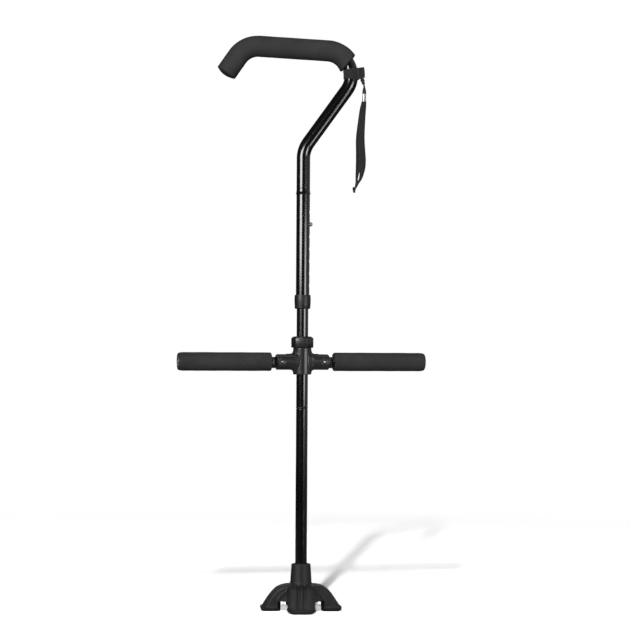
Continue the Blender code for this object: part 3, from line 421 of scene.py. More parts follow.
def grey(value):
    """A grey with a trace of blue, as black lacquer and nylon have."""
    return (value, value, value * 1.04)


print("finish helpers:", [helper.__name__ for helper in (new_finish, use, tones, mix_colour, finished)])

# %% Hard finishes
FINE_RELIEF = 0.0002
RUB_PALER = 2.5  # a rub mark is this much paler than the skin
RUB_DULLER = 0.2  # and this much rougher


def moulded_or_sprayed(name, dark, light, smooth, rough, scale, bump, wear=0.0, **constants):
    """A finish with cloudy tone and gloss, fine grain and, where pieces slide, rub marks."""
    material, tree, shader, coords = new_finish(name, **constants)
    even = use(tree, grain, Vector=coords["Object"], Scale=scale)
    colour = tones(tree, even["Tone"], dark, light)
    gloss = span(tree, even["Tone"], *MID_TONES, smooth, rough)
    if wear:
        rubbed = use(tree, rub_marks, Vector=coords["Object"], Amount=wear)["Mask"]
        paler = tuple(RUB_PALER * channel for channel in light)
        colour = mix_colour(tree, rubbed, colour, (*paler, 1))
        gloss = sums(tree, "MULTIPLY_ADD", rubbed, RUB_DULLER, gloss)
    return finished(material, tree, shader, colour, gloss, even["Height"], bump, FINE_RELIEF)


HARD_FINISHES = {
    # dark and light tone, least and most roughness, grain per metre, relief, wear, constants
    "black_enamel": (
        grey(0.0014), grey(0.0030), 0.15, 0.20, 260.0, 0.012, 0.30,
        {"coat_weight": 0.8, "coat_roughness": 0.12},
    ),
    "bare_aluminium": (grey(0.40), grey(0.48), 0.34, 0.44, 1500.0, 0.05, 0.3, {"metallic": 1.0}),
    "black_plastic": (grey(0.011), grey(0.017), 0.34, 0.44, 2600.0, 0.10, 0.0, {}),
    "hub_plastic": (grey(0.012), grey(0.018), 0.29, 0.36, 1800.0, 0.03, 0.0, {"coat_weight": 0.3}),
    "grey_nylon": (grey(0.14), grey(0.18), 0.48, 0.56, 2200.0, 0.15, 0.0, {}),
    "bright_steel": (grey(0.58), grey(0.68), 0.34, 0.44, 1200.0, 0.02, 0.3, {"metallic": 1.0}),
}
FINISH = {
    name: moulded_or_sprayed(name, *settings, **constants)
    for name, (*settings, constants) in HARD_FINISHES.items()
}
print("hard finishes:", sorted(FINISH))

# %% [markdown]
# ## Finishes of the soft pieces
#
# The grips are closed-cell foam, which scatters light from thousands of tiny pits, so a Voronoi cell
# pattern breaks up its relief and its tone; the tone is darkened towards the floor of each pit, a painted
# shade. The foot is moulded rubber that picks up dust on top and scuffs on its pads. Webbing and cord have
# a little sheen and the weave group, read along their own UV map so that the threads follow the strap,
# and their colour follows the weave's height, with painted shade in the gaps and painted light on the
# threads' tops.

# %% Soft finishes
FOAM_CELLS = 1100.0  # cells per metre
FOAM_GRAIN = 900.0
CELL_RANGE = (0.2, 1.2)  # from the floor of a pit to its rim
RUBBER_GRAIN = 1500.0
SCUFF_HEIGHT = 0.006
DUST_AMOUNT = 0.12
FIBRE_GRAIN = 2400.0
CLOTH_RELIEF = 0.0003


def foam_finish():
    material, tree, shader, coords = new_finish("charcoal_foam", specular_ior_level=0.25)
    even = use(tree, grain, Vector=coords["Object"], Scale=FOAM_GRAIN)
    cells = place(tree, "ShaderNodeTexVoronoi", {"Vector": coords["Object"], "Scale": FOAM_CELLS})
    rim = span(tree, cells.outputs["Distance"], 0.0, 0.6, 0.0, 1.0)
    pitted = sums(tree, "MULTIPLY_ADD", even["Height"], 0.6, rim)
    tone = tones(tree, even["Tone"], (0.029, 0.0282, 0.029), (0.041, 0.0402, 0.041))
    # painted shade: the colour is darkened towards the floor of each foam pit
    tone = mix_colour(tree, span(tree, pitted, *CELL_RANGE, 0.35, 0.0), tone, (0.015, 0.015, 0.015, 1))
    roughness = span(tree, pitted, *CELL_RANGE, 0.98, 0.84)
    return finished(material, tree, shader, tone, roughness, pitted, 0.45, CLOTH_RELIEF)


def rubber_finish():
    material, tree, shader, coords = new_finish("foot_rubber")
    even = use(tree, grain, Vector=coords["Object"], Scale=RUBBER_GRAIN)
    dusty = use(tree, dust, Vector=coords["Object"], Normal=coords["Normal"], Amount=DUST_AMOUNT)
    height = place(tree, "ShaderNodeSeparateXYZ", {"Vector": coords["Object"]}).outputs["Z"]
    low = span(tree, height, 0.0, SCUFF_HEIGHT, 0.5, 0.0)
    scuffs = sums(tree, "MULTIPLY", low, even["Height"])
    tone = tones(tree, even["Tone"], (0.011, 0.0105, 0.011), (0.016, 0.0155, 0.016))
    tone = mix_colour(tree, scuffs, tone, (0.09, 0.088, 0.085, 1))
    tone = mix_colour(tree, dusty["Mask"], tone, (0.14, 0.135, 0.13, 1))
    roughness = span(tree, even["Tone"], *MID_TONES, 0.46, 0.56)
    return finished(material, tree, shader, tone, roughness, even["Height"], 0.14, FINE_RELIEF)


def woven_finish(name, dark, light, across, along, coordinates="UV"):
    """Threads per metre across and along, between a dark tone in the gaps and a light one on top.
    The tones follow the weave's height: painted shade in the gaps, painted light on the tops.
    """
    material, tree, shader, coords = new_finish(name, sheen_weight=0.12)
    cloth = use(tree, weave, Vector=coords[coordinates], Across=across, Along=along)
    fibre = use(tree, grain, Vector=coords["Object"], Scale=FIBRE_GRAIN)
    thread = sums(tree, "MULTIPLY_ADD", fibre["Height"], 0.35, cloth["Height"])
    # painted shade and light: the tone follows the thread height, darker in the gaps and lighter on top
    tone = tones(tree, thread, dark, light, 0.25, 1.1)
    roughness = span(tree, thread, *CELL_RANGE, 0.92, 0.72)
    return finished(material, tree, shader, tone, roughness, thread, 0.6, CLOTH_RELIEF)


FINISH["foam"] = foam_finish()
FINISH["foot_rubber"] = rubber_finish()
FINISH["webbing"] = woven_finish(
    "strap_webbing", (0.004, 0.004, 0.004), (0.016, 0.0156, 0.016), 900, 620
)
FINISH["elastic"] = woven_finish("elastic_braid", grey(0.10), grey(0.24), 1400, 500, "Object")
band_webbing = woven_finish("band_webbing", (0.006, 0.006, 0.006), (0.020, 0.0195, 0.020), 800, 560)
sewing_thread = woven_finish("sewing_thread", (0.020, 0.020, 0.020), (0.060, 0.060, 0.060), 2600, 900)
print("finishes:", len(FINISH) + 2)

# %% [markdown]
# ## Inner pieces keep their solids
#
# Cord plugs, washers and elastic cords sit inside the tubes and hardly ever show. Remaking them would add
# nothing, so their solids stay. Every solid takes the finish that the record names for it, and those that
# are remade below are then hidden.

# %% Finish the solids
for row in frame["record"]["subparts"]:
    solid = frame["nodes"][row["node"]]
    for holder in solid.material_slots:
        holder.link = "OBJECT"
        holder.material = FINISH[row["material_slot"]]

# %% [markdown]
# ## Turned pieces of the shaft
#
# The shaft is drawn aluminium tube, plain round, so each length is an outline spun about the upright axis,
# the way a lathe would make it. A cylinder primitive would do for the wall but not for the rims, so the
# outline is spun whole, with its bore, and the rims are then bevelled as a deburred edge is.


# %% Lathe helpers
def arc(centre, radius, start, end, steps):
    """Points (a, b) along an arc, from one angle to the other."""
    angles = [start + (end - start) * i / steps for i in range(steps + 1)]
    return [(centre[0] + radius * cos(t), centre[1] + radius * sin(t)) for t in angles]


def drawn_line(bm, points):
    """Points that are joined one after the other. Returns them and their edges."""
    chain = [bm.verts.new(point) for point in points]
    return chain, [bm.edges.new(pair) for pair in zip(chain, chain[1:])]


def spun(outline, steps=96):
    """A (radius, height) outline spun about Z, closed to the axis or to its own start."""
    bm = bmesh.new()
    chain, edges = drawn_line(bm, [(r, 0, z) for r, z in outline])
    if not outline[0][0] == outline[-1][0] == 0:
        edges.append(bm.edges.new((chain[-1], chain[0])))
    bmesh.ops.spin(
        bm, geom=chain + edges, cent=(0, 0, 0), axis=(0, 0, 1), angle=2 * pi, steps=steps, use_merge=True
    )
    bmesh.ops.remove_doubles(bm, verts=bm.verts, dist=1e-7)
    bmesh.ops.recalc_face_normals(bm, faces=bm.faces)
    return bm


def bevelled(bm, edges, width, segments, clamp=False):
    """Bevels these edges. The clamp keeps neighbouring bevels from overlapping."""
    bmesh.ops.bevel(
        bm, geom=edges, offset=width, segments=segments, profile=0.5, affect="EDGES", material=-1,
        clamp_overlap=clamp,
    )
    return bm


def soften(bm, width, segments=3, sharper_than=radians(40)):
    """Rounds every edge that is sharper than an angle."""
    edges = [e for e in bm.edges if len(e.link_faces) == 2 and e.calc_face_angle() > sharper_than]
    return bevelled(bm, edges, width, segments, clamp=True)


def dress(name, bm, slot, body, *nodes, at=None, finish=None, crease=radians(40)):
    """Makes a piece of a bmesh, smooth but for its creases, that stands for these nodes."""
    if at is not None:
        bmesh.ops.transform(bm, matrix=at, verts=bm.verts)
    mesh = mesh_of(bm, name)
    mesh.shade_smooth()
    mesh.set_sharp_from_angle(angle=crease)
    mesh.materials.append(finish or FINISH[slot])
    piece = bpy.data.objects.new(name, mesh)
    scene.collection.objects.link(piece)
    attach(piece, body)
    if nodes:
        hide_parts(*nodes)
    print(f"{name}: {len(mesh.polygons)} faces")
    return piece


print("lathe helpers:", [helper.__name__ for helper in (arc, drawn_line, spun, soften, dress)])

# %% Shaft tubes
SHAFT_WALL = 0.0012
DEBURR = 0.0003
TUBE_RING = 0.006  # height of one ring of faces, so that holes cut cleanly
RIM_BAND = 0.0008  # a narrow ring at each rim keeps the rounding out of the wall's shading


def tube(node, wall):
    """The node's tube, in rings, with rounded rims."""
    low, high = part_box(node)
    radius = high.x
    rings = ceil((high.z - low.z) / TUBE_RING)
    heights = [low.z + (high.z - low.z) * i / rings for i in range(rings + 1)]
    heights = [heights[0], low.z + RIM_BAND, *heights[1:-1], high.z - RIM_BAND, heights[-1]]
    outside = [(radius, z) for z in heights]
    inside = [(radius - wall, z) for z in reversed(heights)]
    return soften(spun(outside + inside), DEBURR, 2)


dress("lower_shaft", tube("lower_tube", SHAFT_WALL), "black_enamel", "lower_section", "lower_tube")

# %% [markdown]
# The outer tube carries a row of height holes on its front side, and the middle tube one hole for the snap
# button. A hole could be painted on, but it has depth and shows the inner tube, so a drill is run through
# the wall with a Boolean.


# %% Drilled tubes
def throwaway(bm):
    """A passing object for a modifier to work on."""
    helper = bpy.data.objects.new("throwaway", mesh_of(bm, "throwaway"))
    scene.collection.objects.link(helper)
    return helper


def evaluated(*helpers):
    """The first helper's mesh as its modifiers leave it. The helpers are removed."""
    bpy.context.view_layer.update()
    shaped = helpers[0].evaluated_get(bpy.context.evaluated_depsgraph_get())
    bm = bmesh.new()
    bm.from_mesh(shaped.to_mesh())
    shaped.to_mesh_clear()
    for helper in helpers:
        bpy.data.meshes.remove(helper.data)
    return bm


def cut(bm, tools, operation="DIFFERENCE", solver="EXACT"):
    """Cuts tools out of a bmesh, or joins or crosses it with them."""
    base = throwaway(bm)
    helpers = [throwaway(tool) for tool in tools]
    for helper in helpers:
        modifier = base.modifiers.new("cut", "BOOLEAN")
        modifier.operation = operation
        modifier.solver = solver
        modifier.object = helper
    return evaluated(base, *helpers)


def drill(radius, start, direction, length, sides=48):
    """A plain cylinder from a point along a direction."""
    bm = bmesh.new()
    facing = Vector(direction).to_track_quat("Z", "Y").to_matrix().to_4x4()
    shift = Matrix.Translation((0, 0, length / 2)) @ Matrix.Rotation(pi / sides, 4, "Z")
    bmesh.ops.create_cone(
        bm, cap_ends=True, segments=sides, radius1=radius, radius2=radius, depth=length,
        matrix=Matrix.Translation(start) @ facing @ shift,
    )
    return bm


SLIP = 0.0003  # gap between pieces that slide or seat in one another
HOLE_PITCH = 0.020
HOLE_COUNT = 7
DRILL_PAST = 0.002
BUTTON_RADIUS = 0.00335
button_low, button_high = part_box("snap_button")
button_z = (button_low.z + button_high.z) / 2
outer_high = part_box("outer_tube")[1]
outer_radius = outer_high.x
top_hole_z = button_z + HOLE_PITCH


def side_holes(heights):
    """Drills for a row of button holes."""
    reach = outer_radius + DRILL_PAST
    return [drill(BUTTON_RADIUS + SLIP, (0, 0, z), (1, 0, 0), reach) for z in heights]


drilled = cut(tube("middle_tube", SHAFT_WALL), side_holes([button_z]))
dress("middle_shaft", drilled, "black_enamel", "middle_section", "middle_tube")
hole_heights = [top_hole_z - i * HOLE_PITCH for i in range(HOLE_COUNT)]
drilled = cut(tube("outer_tube", SHAFT_WALL), side_holes(hole_heights))
dress("outer_shaft", drilled, "black_enamel", "outer_section", "outer_tube")

# %% [markdown]
# The snap button is a turned steel pin with a domed head that springs out through a height hole. It is a
# small lathe job. The dome could be left to a bevel, but it is the whole shape that shows, so it is drawn
# in the outline itself.

# %% Snap button
BUTTON_DOME = 0.0016
BUTTON_FLANGE = 0.0010
BUTTON_SEAT = 0.0012
BUTTON_EDGE = 0.0002


def quarter_turn(count):
    """Equal steps from 0 to a right angle."""
    return [pi / 2 * i / count for i in range(count + 1)]


button_length = button_high.x - button_low.x
dome = [(BUTTON_RADIUS * cos(t), button_length - BUTTON_DOME * (1 - sin(t))) for t in quarter_turn(8)]
dome[-1] = (0, button_length)
flange = BUTTON_RADIUS + BUTTON_FLANGE
outline = [(0, 0), (flange, 0), (flange, BUTTON_SEAT), (BUTTON_RADIUS, BUTTON_SEAT), *dome]
bm = soften(spun(outline, 48), BUTTON_EDGE, 2)
to_front = Matrix.Translation((button_low.x, 0, button_z)) @ Matrix.Rotation(pi / 2, 4, "Y")
dress("height_button", bm, "bright_steel", "button", "snap_button", at=to_front)

# %% [markdown]
# Behind the button sits its spring, a steel strip bent double inside the tube. The strip could stay a solid
# like the other inner pieces, but a pressed button would then pass through it. So the bent line is drawn
# once, extruded to the strip's width and thickened, and the strip gets a mesh of its own.

# %% Button spring
SPRING_THICKNESS = 0.0006
SPRING_EDGE = 0.0001


def drawn_out(bm, edges):
    """Extrudes edges where they are. Returns the new points and the new edges."""
    grown = bmesh.ops.extrude_edge_only(bm, edges=edges)["geom"]
    points = [v for v in grown if isinstance(v, bmesh.types.BMVert)]
    return points, [e for e in grown if isinstance(e, bmesh.types.BMEdge)]


low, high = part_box("button_spring")
half_gap = (high.x - low.x - SPRING_THICKNESS) / 2
middle_x = (low.x + high.x) / 2
bend = arc((middle_x, low.z + SPRING_THICKNESS / 2 + half_gap), half_gap, -pi, 0, 16)
line = [(middle_x - half_gap, high.z), *bend, (middle_x + half_gap, high.z)]
bm = bmesh.new()
near_edges = drawn_line(bm, [(x, low.y, z) for x, z in line])[1]
far_points = drawn_out(bm, near_edges)[0]
bmesh.ops.translate(bm, vec=(0, high.y - low.y, 0), verts=far_points)
bmesh.ops.recalc_face_normals(bm, faces=bm.faces)
strip = throwaway(bm)
thick = strip.modifiers.new("strip", "SOLIDIFY")
thick.thickness, thick.offset = SPRING_THICKNESS, 0.0
bm = soften(evaluated(strip), SPRING_EDGE, 2)
leaf = dress("spring_leaf", bm, "bright_steel", "middle_section", "button_spring")
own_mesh(leaf)

# %% [markdown]
# The two joints of the shaft end in turned plugs with a bore for the elastic cord. The lower one shows a
# thin bead, the upper one a flared ring. A torus would do for the bead but not for the ring, so both are
# part of their plug's outline.

# %% Joint plugs
CORD_BORE = 0.0030
SPIGOT_FLOOR = 0.0040
HANDLE_WALL = 0.0014
RING_GAP = 0.0001
RING_ROUND = 0.0012
shaft_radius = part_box("lower_tube")[1].x
handle_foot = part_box("handle_tube")[0].z


def shares(count):
    """Equal steps from 0 to 1."""
    return [i / count for i in range(count + 1)]


def plug_end(radius, low, high):
    """Outline of a plug's upper end and its bore."""
    bottom = low + SPIGOT_FLOOR
    return [(radius, high), (CORD_BORE, high), (CORD_BORE, bottom), (0, bottom)]


low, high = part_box("lower_joint_spigot")
plug = shaft_radius - SHAFT_WALL - SLIP
bead_low, bead_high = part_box("lower_tube")[1].z + SLIP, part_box("middle_tube")[0].z - SLIP
half = (bead_high - bead_low) / 2
bead = arc((high.x - half, bead_low + half), half, -pi / 2, pi / 2, 12)
outline = [(0, low.z), (plug, low.z), (plug, bead_low), *bead, (plug, bead_high)]
bm = soften(spun(outline + plug_end(plug, low.z, high.z)), DEBURR, 2)
dress("lower_joint_plug", bm, "black_plastic", "lower_section", "lower_joint_spigot")

low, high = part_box("upper_joint_spigot")
ring_low, ring_high = outer_high.z + RING_GAP, handle_foot - RING_GAP
root = outer_radius - SHAFT_WALL - SLIP
plug = outer_radius - HANDLE_WALL - SLIP
proud = high.x - outer_radius
flare = [(outer_radius, ring_low), *arc((high.x - proud, ring_low + RING_ROUND), proud, -pi / 3, 0, 5)]
taper = ring_high - ring_low - RING_ROUND
flare += [
    (outer_radius + proud * (1 - t) ** 4, ring_low + RING_ROUND + taper * t) for t in shares(12)[1:]
]
outline = [(0, low.z), (root, low.z), (root, ring_low), *flare, (plug, ring_high)]
bm = soften(spun(outline + plug_end(plug, low.z, high.z)), DEBURR, 2)
dress("upper_joint_plug", bm, "black_plastic", "outer_section", "upper_joint_spigot",
      finish=FINISH["black_enamel"])

# %% [markdown]
# ## Lock collar
#
# Below the outer tube a moulded collar is twisted to squeeze a split ring on the inner tube. It is barrel
# shaped, with a turned-in lip at its foot and a shallow groove above the lip that catches the light. Spin
# gives the barrel, and the groove is simply three more points of the outline.

# %% Lock collar
COLLAR_LIP = 0.0024
COLLAR_ROUND = 0.0022
COLLAR_BARREL = 0.0004
GROOVE_HEIGHT = 0.0042
GROOVE_DEPTH = 0.0005
GROOVE_HALF = 0.0007
GROOVE_LAND = 0.0012  # from the middle of the groove to the start of the barrel
low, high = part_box("lock_collar")
hole, seat = shaft_radius + SLIP, outer_radius + SLIP
side = high.x - COLLAR_BARREL
height = high.z - low.z
foot = arc((side - COLLAR_ROUND, COLLAR_ROUND), COLLAR_ROUND, -pi / 2, 0, 6)
groove = [(side, GROOVE_HEIGHT - GROOVE_HALF), (side - GROOVE_DEPTH, GROOVE_HEIGHT)]
groove += [(side, GROOVE_HEIGHT + GROOVE_HALF)]
barrel_start = GROOVE_HEIGHT + GROOVE_LAND
barrel = [
    (side + COLLAR_BARREL * sin(pi * t), barrel_start + (height - barrel_start) * t) for t in shares(12)
]
outline = [(hole, 0), *foot, *groove, *barrel, (seat, height), (seat, COLLAR_LIP), (hole, COLLAR_LIP)]
bm = soften(spun(outline), DEBURR, 2)
dress("twist_collar", bm, "black_plastic", "collar", "lock_collar", at=Matrix.Translation((0, 0, low.z)))

# %% [markdown]
# ## Bent handle tube
#
# The handle is one tube bent three times on a mandrel: the round of the grip's free end, the sharp turn
# at the front and the offset back to the shaft. A curve with a bevel would do, but its rings bunch up at
# the corners. Here a ring of edges is drawn along each straight with extrude and swung round each bend
# with spin, so every bend keeps its true radius.

# %% Handle route
HANDLE_CORNERS = [
    Vector((-0.12124, 0, 0.88289)),
    Vector((-0.09562, 0, 0.91989)),
    Vector((0.11260, 0, 0.90737)),
    Vector((0, 0, 0.75067)),
    Vector((0, 0, handle_foot)),
]
BEND_RADII = (0.0410, 0.0407, 0.0440)
BEND_STEP = radians(3)
RUN_STEP = 0.004


class Bend:
    """One bend of the route: where it starts, what it turns about and how far."""

    def __init__(self, before, corner, after, radius):
        self.into = (corner - before).normalized()
        out = (after - corner).normalized()
        self.turn = self.into.angle(out)
        self.start = corner - self.into * radius * tan(self.turn / 2)
        self.axis = self.into.cross(out).normalized()
        self.centre = self.start + self.axis.cross(self.into) * radius

    def point(self, turn):
        return self.centre + Matrix.Rotation(turn, 3, self.axis) @ (self.start - self.centre)


bends = [Bend(*HANDLE_CORNERS[i : i + 3], BEND_RADII[i]) for i in range(3)]
print("bends:", [round(bend.turn * 180 / pi, 1) for bend in bends])


# %% Handle tube
def ring_edges(bm, radius, centre, heading, sides=72):
    """A circle square to a heading."""
    facing = heading.to_track_quat("Z", "Y").to_matrix().to_4x4()
    spot = Matrix.Translation(centre) @ facing
    made = set(bmesh.ops.create_circle(bm, segments=sides, radius=radius, matrix=spot)["verts"])
    return [e for e in bm.edges if e.verts[0] in made and e.verts[1] in made]


def run(bm, edges, way):
    """Draws loops out along a straight, a short step at a time."""
    steps = max(1, round(way.length / RUN_STEP))
    for _ in range(steps):
        points, edges = drawn_out(bm, edges)
        bmesh.ops.translate(bm, vec=way / steps, verts=points)
    return edges


def swing(bm, edges, bend, turn):
    """Swings loops round a bend."""
    verts = list({v for e in edges for v in e.verts})
    steps = max(1, round(turn / BEND_STEP))
    swung = bmesh.ops.spin(
        bm, geom=verts + edges, cent=bend.centre, axis=bend.axis, angle=turn, steps=steps
    )
    return [e for e in swung["geom_last"] if isinstance(e, bmesh.types.BMEdge)]


def lofted(bm, loops):
    """A closed skin over loops of edges, from the first to the last."""
    for near, far in zip(loops, loops[1:]):
        bmesh.ops.bridge_loops(bm, edges=near + far)
    for end in (loops[0], loops[-1]):
        bmesh.ops.edgeloop_fill(bm, edges=end)
    bmesh.ops.recalc_face_normals(bm, faces=bm.faces)
    return bm


def swept(points, radius, sides=12, taper=None):
    """A round rod along points, with closed ends."""
    bm = bmesh.new()
    loops = []
    for index, spot in enumerate(points):
        before, after = points[max(0, index - 1)], points[min(len(points) - 1, index + 1)]
        size = radius * (taper(index / (len(points) - 1)) if taper else 1)
        loops.append(ring_edges(bm, size, spot, (after - before).normalized(), sides))
    return lofted(bm, loops)


bm = bmesh.new()
here = HANDLE_CORNERS[0]
inner = ring_edges(bm, outer_radius - HANDLE_WALL, here, bends[0].into)
edges = inner + ring_edges(bm, outer_radius, here, bends[0].into)
bmesh.ops.bridge_loops(bm, edges=edges)
edges = run(bm, edges, bends[0].into * RIM_BAND)
here = here + bends[0].into * RIM_BAND
for bend in bends:
    edges = run(bm, edges, bend.start - here)
    edges = swing(bm, edges, bend, bend.turn)
    here = bend.point(bend.turn)
rim_band = Vector((0, 0, -RIM_BAND))
edges = run(bm, edges, HANDLE_CORNERS[-1] - rim_band - here)
edges = run(bm, edges, rim_band)
bmesh.ops.bridge_loops(bm, edges=edges)
bmesh.ops.recalc_face_normals(bm, faces=bm.faces)
dress("bent_handle", soften(bm, DEBURR, 2), "black_enamel", "handle_section", "handle_tube")

# %% [markdown]
# ## Foam of the handle
#
# The grip is a foam sleeve pushed on over the bend, with a closed, domed end and a slanted cut at the
# front. Foam could be a plain fat tube, but it is never quite even: it swells a little where it is
# stretched. So the sleeve is swept like the tube, its rims are rounded, and a smooth noise then moves its
# skin by a fraction of a millimetre.

# %% Foam handle sleeve
FOAM_RADIUS = 0.01725
FOAM_BORE = 0.0114
FOAM_END_WALL = 0.0070
FOAM_DOME = 0.0041
FOAM_TURN = radians(57.5)
FOAM_SKEW = radians(18)
FOAM_RIM = 0.0025
FOAM_UNEVEN = 0.00022
FOAM_WAVE = 0.022  # size of the unevenness
FOAM_EDGE = ((0.0003, 0.0004), (0.0010, 0.0007))  # steps in and up that round the edge of the domed end
PLUG_GAP = 0.0023  # room for the plug in the tube's end


def uneven(bm, size, depth):
    """Moves points along their normals by a smooth noise."""
    bm.normal_update()
    shifts = [v.normal * depth * noise.noise(v.co / size) for v in bm.verts]
    for vert, shift in zip(bm.verts, shifts):
        vert.co += shift


def drawn_in(bm, edges, centre, heading, radius, profile):
    """Draws a loop on through (radius, rise) steps."""
    done_radius, done_rise = radius, 0.0
    for ring_radius, rise in profile:
        points, edges = drawn_out(bm, edges)
        bmesh.ops.translate(bm, vec=heading * (rise - done_rise), verts=points)
        middle = Matrix.Translation(-(centre + heading * rise))
        bmesh.ops.scale(bm, vec=(ring_radius / done_radius,) * 3, space=middle, verts=points)
        done_radius, done_rise = ring_radius, rise
    return edges


def lean_rings(bm, bend, turn, skew):
    """Leans the rings of a bend back, more and more towards its end."""
    first = bend.start - bend.centre
    for vert in bm.verts:
        arm = vert.co - bend.centre
        arm -= bend.axis * arm.dot(bend.axis)
        angle = atan2(bend.axis.dot(first.cross(arm)), first.dot(arm))
        if angle > 1e-5:
            lean = tan(skew) * (first.length - arm.length) / arm.length * angle / turn
            vert.co = bend.centre + Matrix.Rotation(lean, 3, bend.axis) @ (vert.co - bend.centre)


bm = bmesh.new()
into, front = bends[0].into, bends[1]
inside = HANDLE_CORNERS[0] - into * PLUG_GAP
inner = ring_edges(bm, FOAM_BORE, inside, into)
outer = ring_edges(bm, FOAM_RADIUS, inside, into)
bmesh.ops.edgeloop_fill(bm, edges=inner)
tail = run(bm, outer, -into * FOAM_END_WALL)
(edge_in, edge_up), (crown_in, crown_up) = FOAM_EDGE
crown = FOAM_RADIUS - crown_in
globe = (crown**2 + FOAM_DOME**2) / (2 * FOAM_DOME)
rings = [crown * (1 - t) for t in shares(12)[:-1]]
cap = [(FOAM_RADIUS - edge_in, edge_up)]
cap += [(r, sqrt(globe**2 - r**2) - globe + FOAM_DOME + crown_up) for r in rings]
tail = drawn_in(bm, tail, inside - into * FOAM_END_WALL, -into, FOAM_RADIUS, cap)
bmesh.ops.edgeloop_fill(bm, edges=tail)
edges = run(bm, inner + outer, bends[0].start - inside)
edges = swing(bm, edges, bends[0], bends[0].turn)
edges = run(bm, edges, front.start - bends[0].point(bends[0].turn))
foam_turn = FOAM_TURN - FOAM_RIM / BEND_RADII[1]
edges = swing(bm, edges, front, foam_turn)
lean_rings(bm, front, foam_turn, FOAM_SKEW)
middle = front.point(foam_turn)
normal = Matrix.Rotation(foam_turn - FOAM_SKEW, 3, front.axis) @ front.into
rim = [e for e in edges if (e.verts[0].co - middle).length > (FOAM_BORE + FOAM_RADIUS) / 2]
lip = [e for e in edges if e not in rim]
rounded = arc((FOAM_RADIUS - FOAM_RIM, 0), FOAM_RIM, 0, pi / 2, 6)[1:]
rim = drawn_in(bm, rim, middle, normal, FOAM_RADIUS, rounded)
bmesh.ops.translate(bm, vec=normal * FOAM_RIM, verts=list({v for e in lip for v in e.verts}))
bmesh.ops.bridge_loops(bm, edges=rim + lip)
bmesh.ops.recalc_face_normals(bm, faces=bm.faces)
uneven(bm, FOAM_WAVE, FOAM_UNEVEN)
handle_foam = dress("foam_handle_sleeve", bm, "foam", "handle_section", "handle_grip", crease=pi)

# %% [markdown]
# ## Side bars
#
# Each side bar is a short aluminium tube in a foam sleeve, with a plug sunk in its open end. The sleeve is
# tapered over its last centimetre and shows two faint rings there, where the moulding was drawn off its
# core. Both bars are turned along Z and then laid along their hinge's direction, so one function makes
# left and right.

# %% Bar pieces
HUB_YAW = radians(12)
PIN_REACH = 0.0353
hub_z = (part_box("left_bar_tube")[0].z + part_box("left_bar_tube")[1].z) / 2
BAR_RADIUS = 0.0094
BAR_WALL = 0.0014
GRIP_START = 0.0166
GRIP_LENGTH = 0.1531
GRIP_BORE = 0.0097
GRIP_RADIUS = 0.0151
GRIP_ROUND = 0.0022
GRIP_END_LENGTH = 0.0090
GRIP_END_STEP = 0.0024
GRIP_RINGS = (0.0045, 0.0082)  # distance of the mould rings from the end
GRIP_RING_DEPTH = 0.00035
GRIP_RING_HALF = 0.0008
GRIP_EDGE = 0.0006
GRIP_STEPS = 190  # rows of faces along the sleeve, fine enough for its rings
GRIP_WAVE = 0.020
PLUG_SINK = 0.0035
PLUG_LENGTH = 0.0100
PLUG_DISH = 0.0012
PLUG_DISH_RIM = 0.82  # shares of the plug's radius at the rim of its dish
PLUG_DISH_FLOOR = 0.74  # and at its floor
BAR_TURN = {"right": HUB_YAW, "left": HUB_YAW + pi}


def along_bar(side, start):
    """Lays something made along +Z on the bar's axis, this far out from the hinge pin."""
    turn = Matrix.Translation((0, 0, hub_z)) @ Matrix.Rotation(BAR_TURN[side], 4, "Z")
    return turn @ Matrix.Translation((PIN_REACH + start, 0, 0)) @ Matrix.Rotation(pi / 2, 4, "Y")


def grip_radius(z):
    """Outside of the foam at a distance from its inner end."""
    left = GRIP_LENGTH - z
    radius = GRIP_RADIUS
    if left < GRIP_END_LENGTH:
        radius -= GRIP_END_STEP * (1 - sqrt(1 - (1 - left / GRIP_END_LENGTH) ** 2))
    for ring in GRIP_RINGS:
        radius -= GRIP_RING_DEPTH * max(0.0, 1 - abs(left - ring) / GRIP_RING_HALF)
    return radius


def bar_foam():
    """The sleeve, from its inner end."""
    start = arc((GRIP_RADIUS - GRIP_ROUND, GRIP_ROUND), GRIP_ROUND, -pi / 2, 0, 6)
    straight = GRIP_LENGTH - GRIP_ROUND
    heights = [GRIP_ROUND + straight * i / GRIP_STEPS for i in range(1, GRIP_STEPS + 1)]
    skin = [(grip_radius(z), z) for z in heights]
    outline = [(GRIP_BORE, 0), *start, *skin, (GRIP_BORE, GRIP_LENGTH)]
    bm = soften(spun(outline, 72), GRIP_EDGE, 3, radians(60))
    uneven(bm, GRIP_WAVE, FOAM_UNEVEN)
    return bm


def bar_tube():
    """The tube in the sleeve."""
    inside, length = BAR_RADIUS - BAR_WALL, GRIP_LENGTH - SLIP
    outline = [(BAR_RADIUS, 0), (BAR_RADIUS, length), (inside, length), (inside, 0)]
    return soften(spun(outline, 72), DEBURR, 2)


def bar_plug():
    """The plug in the tube's outer end, with a dished face."""
    rim, bottom = BAR_RADIUS - BAR_WALL - SLIP, PLUG_LENGTH - PLUG_DISH
    dish = [(rim * PLUG_DISH_RIM, PLUG_LENGTH), (rim * PLUG_DISH_FLOOR, bottom), (0, bottom)]
    return soften(spun([(0, 0), (rim, 0), (rim, PLUG_LENGTH), *dish], 64), DEBURR, 2)


plug_start = GRIP_START + GRIP_LENGTH - PLUG_SINK - PLUG_LENGTH
for side in BAR_TURN:
    body = f"{side}_bar"
    sleeve = dress(f"{side}_foam_sleeve", bar_foam(), "foam", body, f"{side}_bar_grip",
                   at=along_bar(side, GRIP_START), crease=pi)
    dress(f"{side}_grip_tube", bar_tube(), "bare_aluminium", body, f"{side}_bar_tube",
          at=along_bar(side, GRIP_START + SLIP))
    dress(f"{side}_end_plug", bar_plug(), "black_plastic", body, f"{side}_bar_plug",
          at=along_bar(side, plug_start))

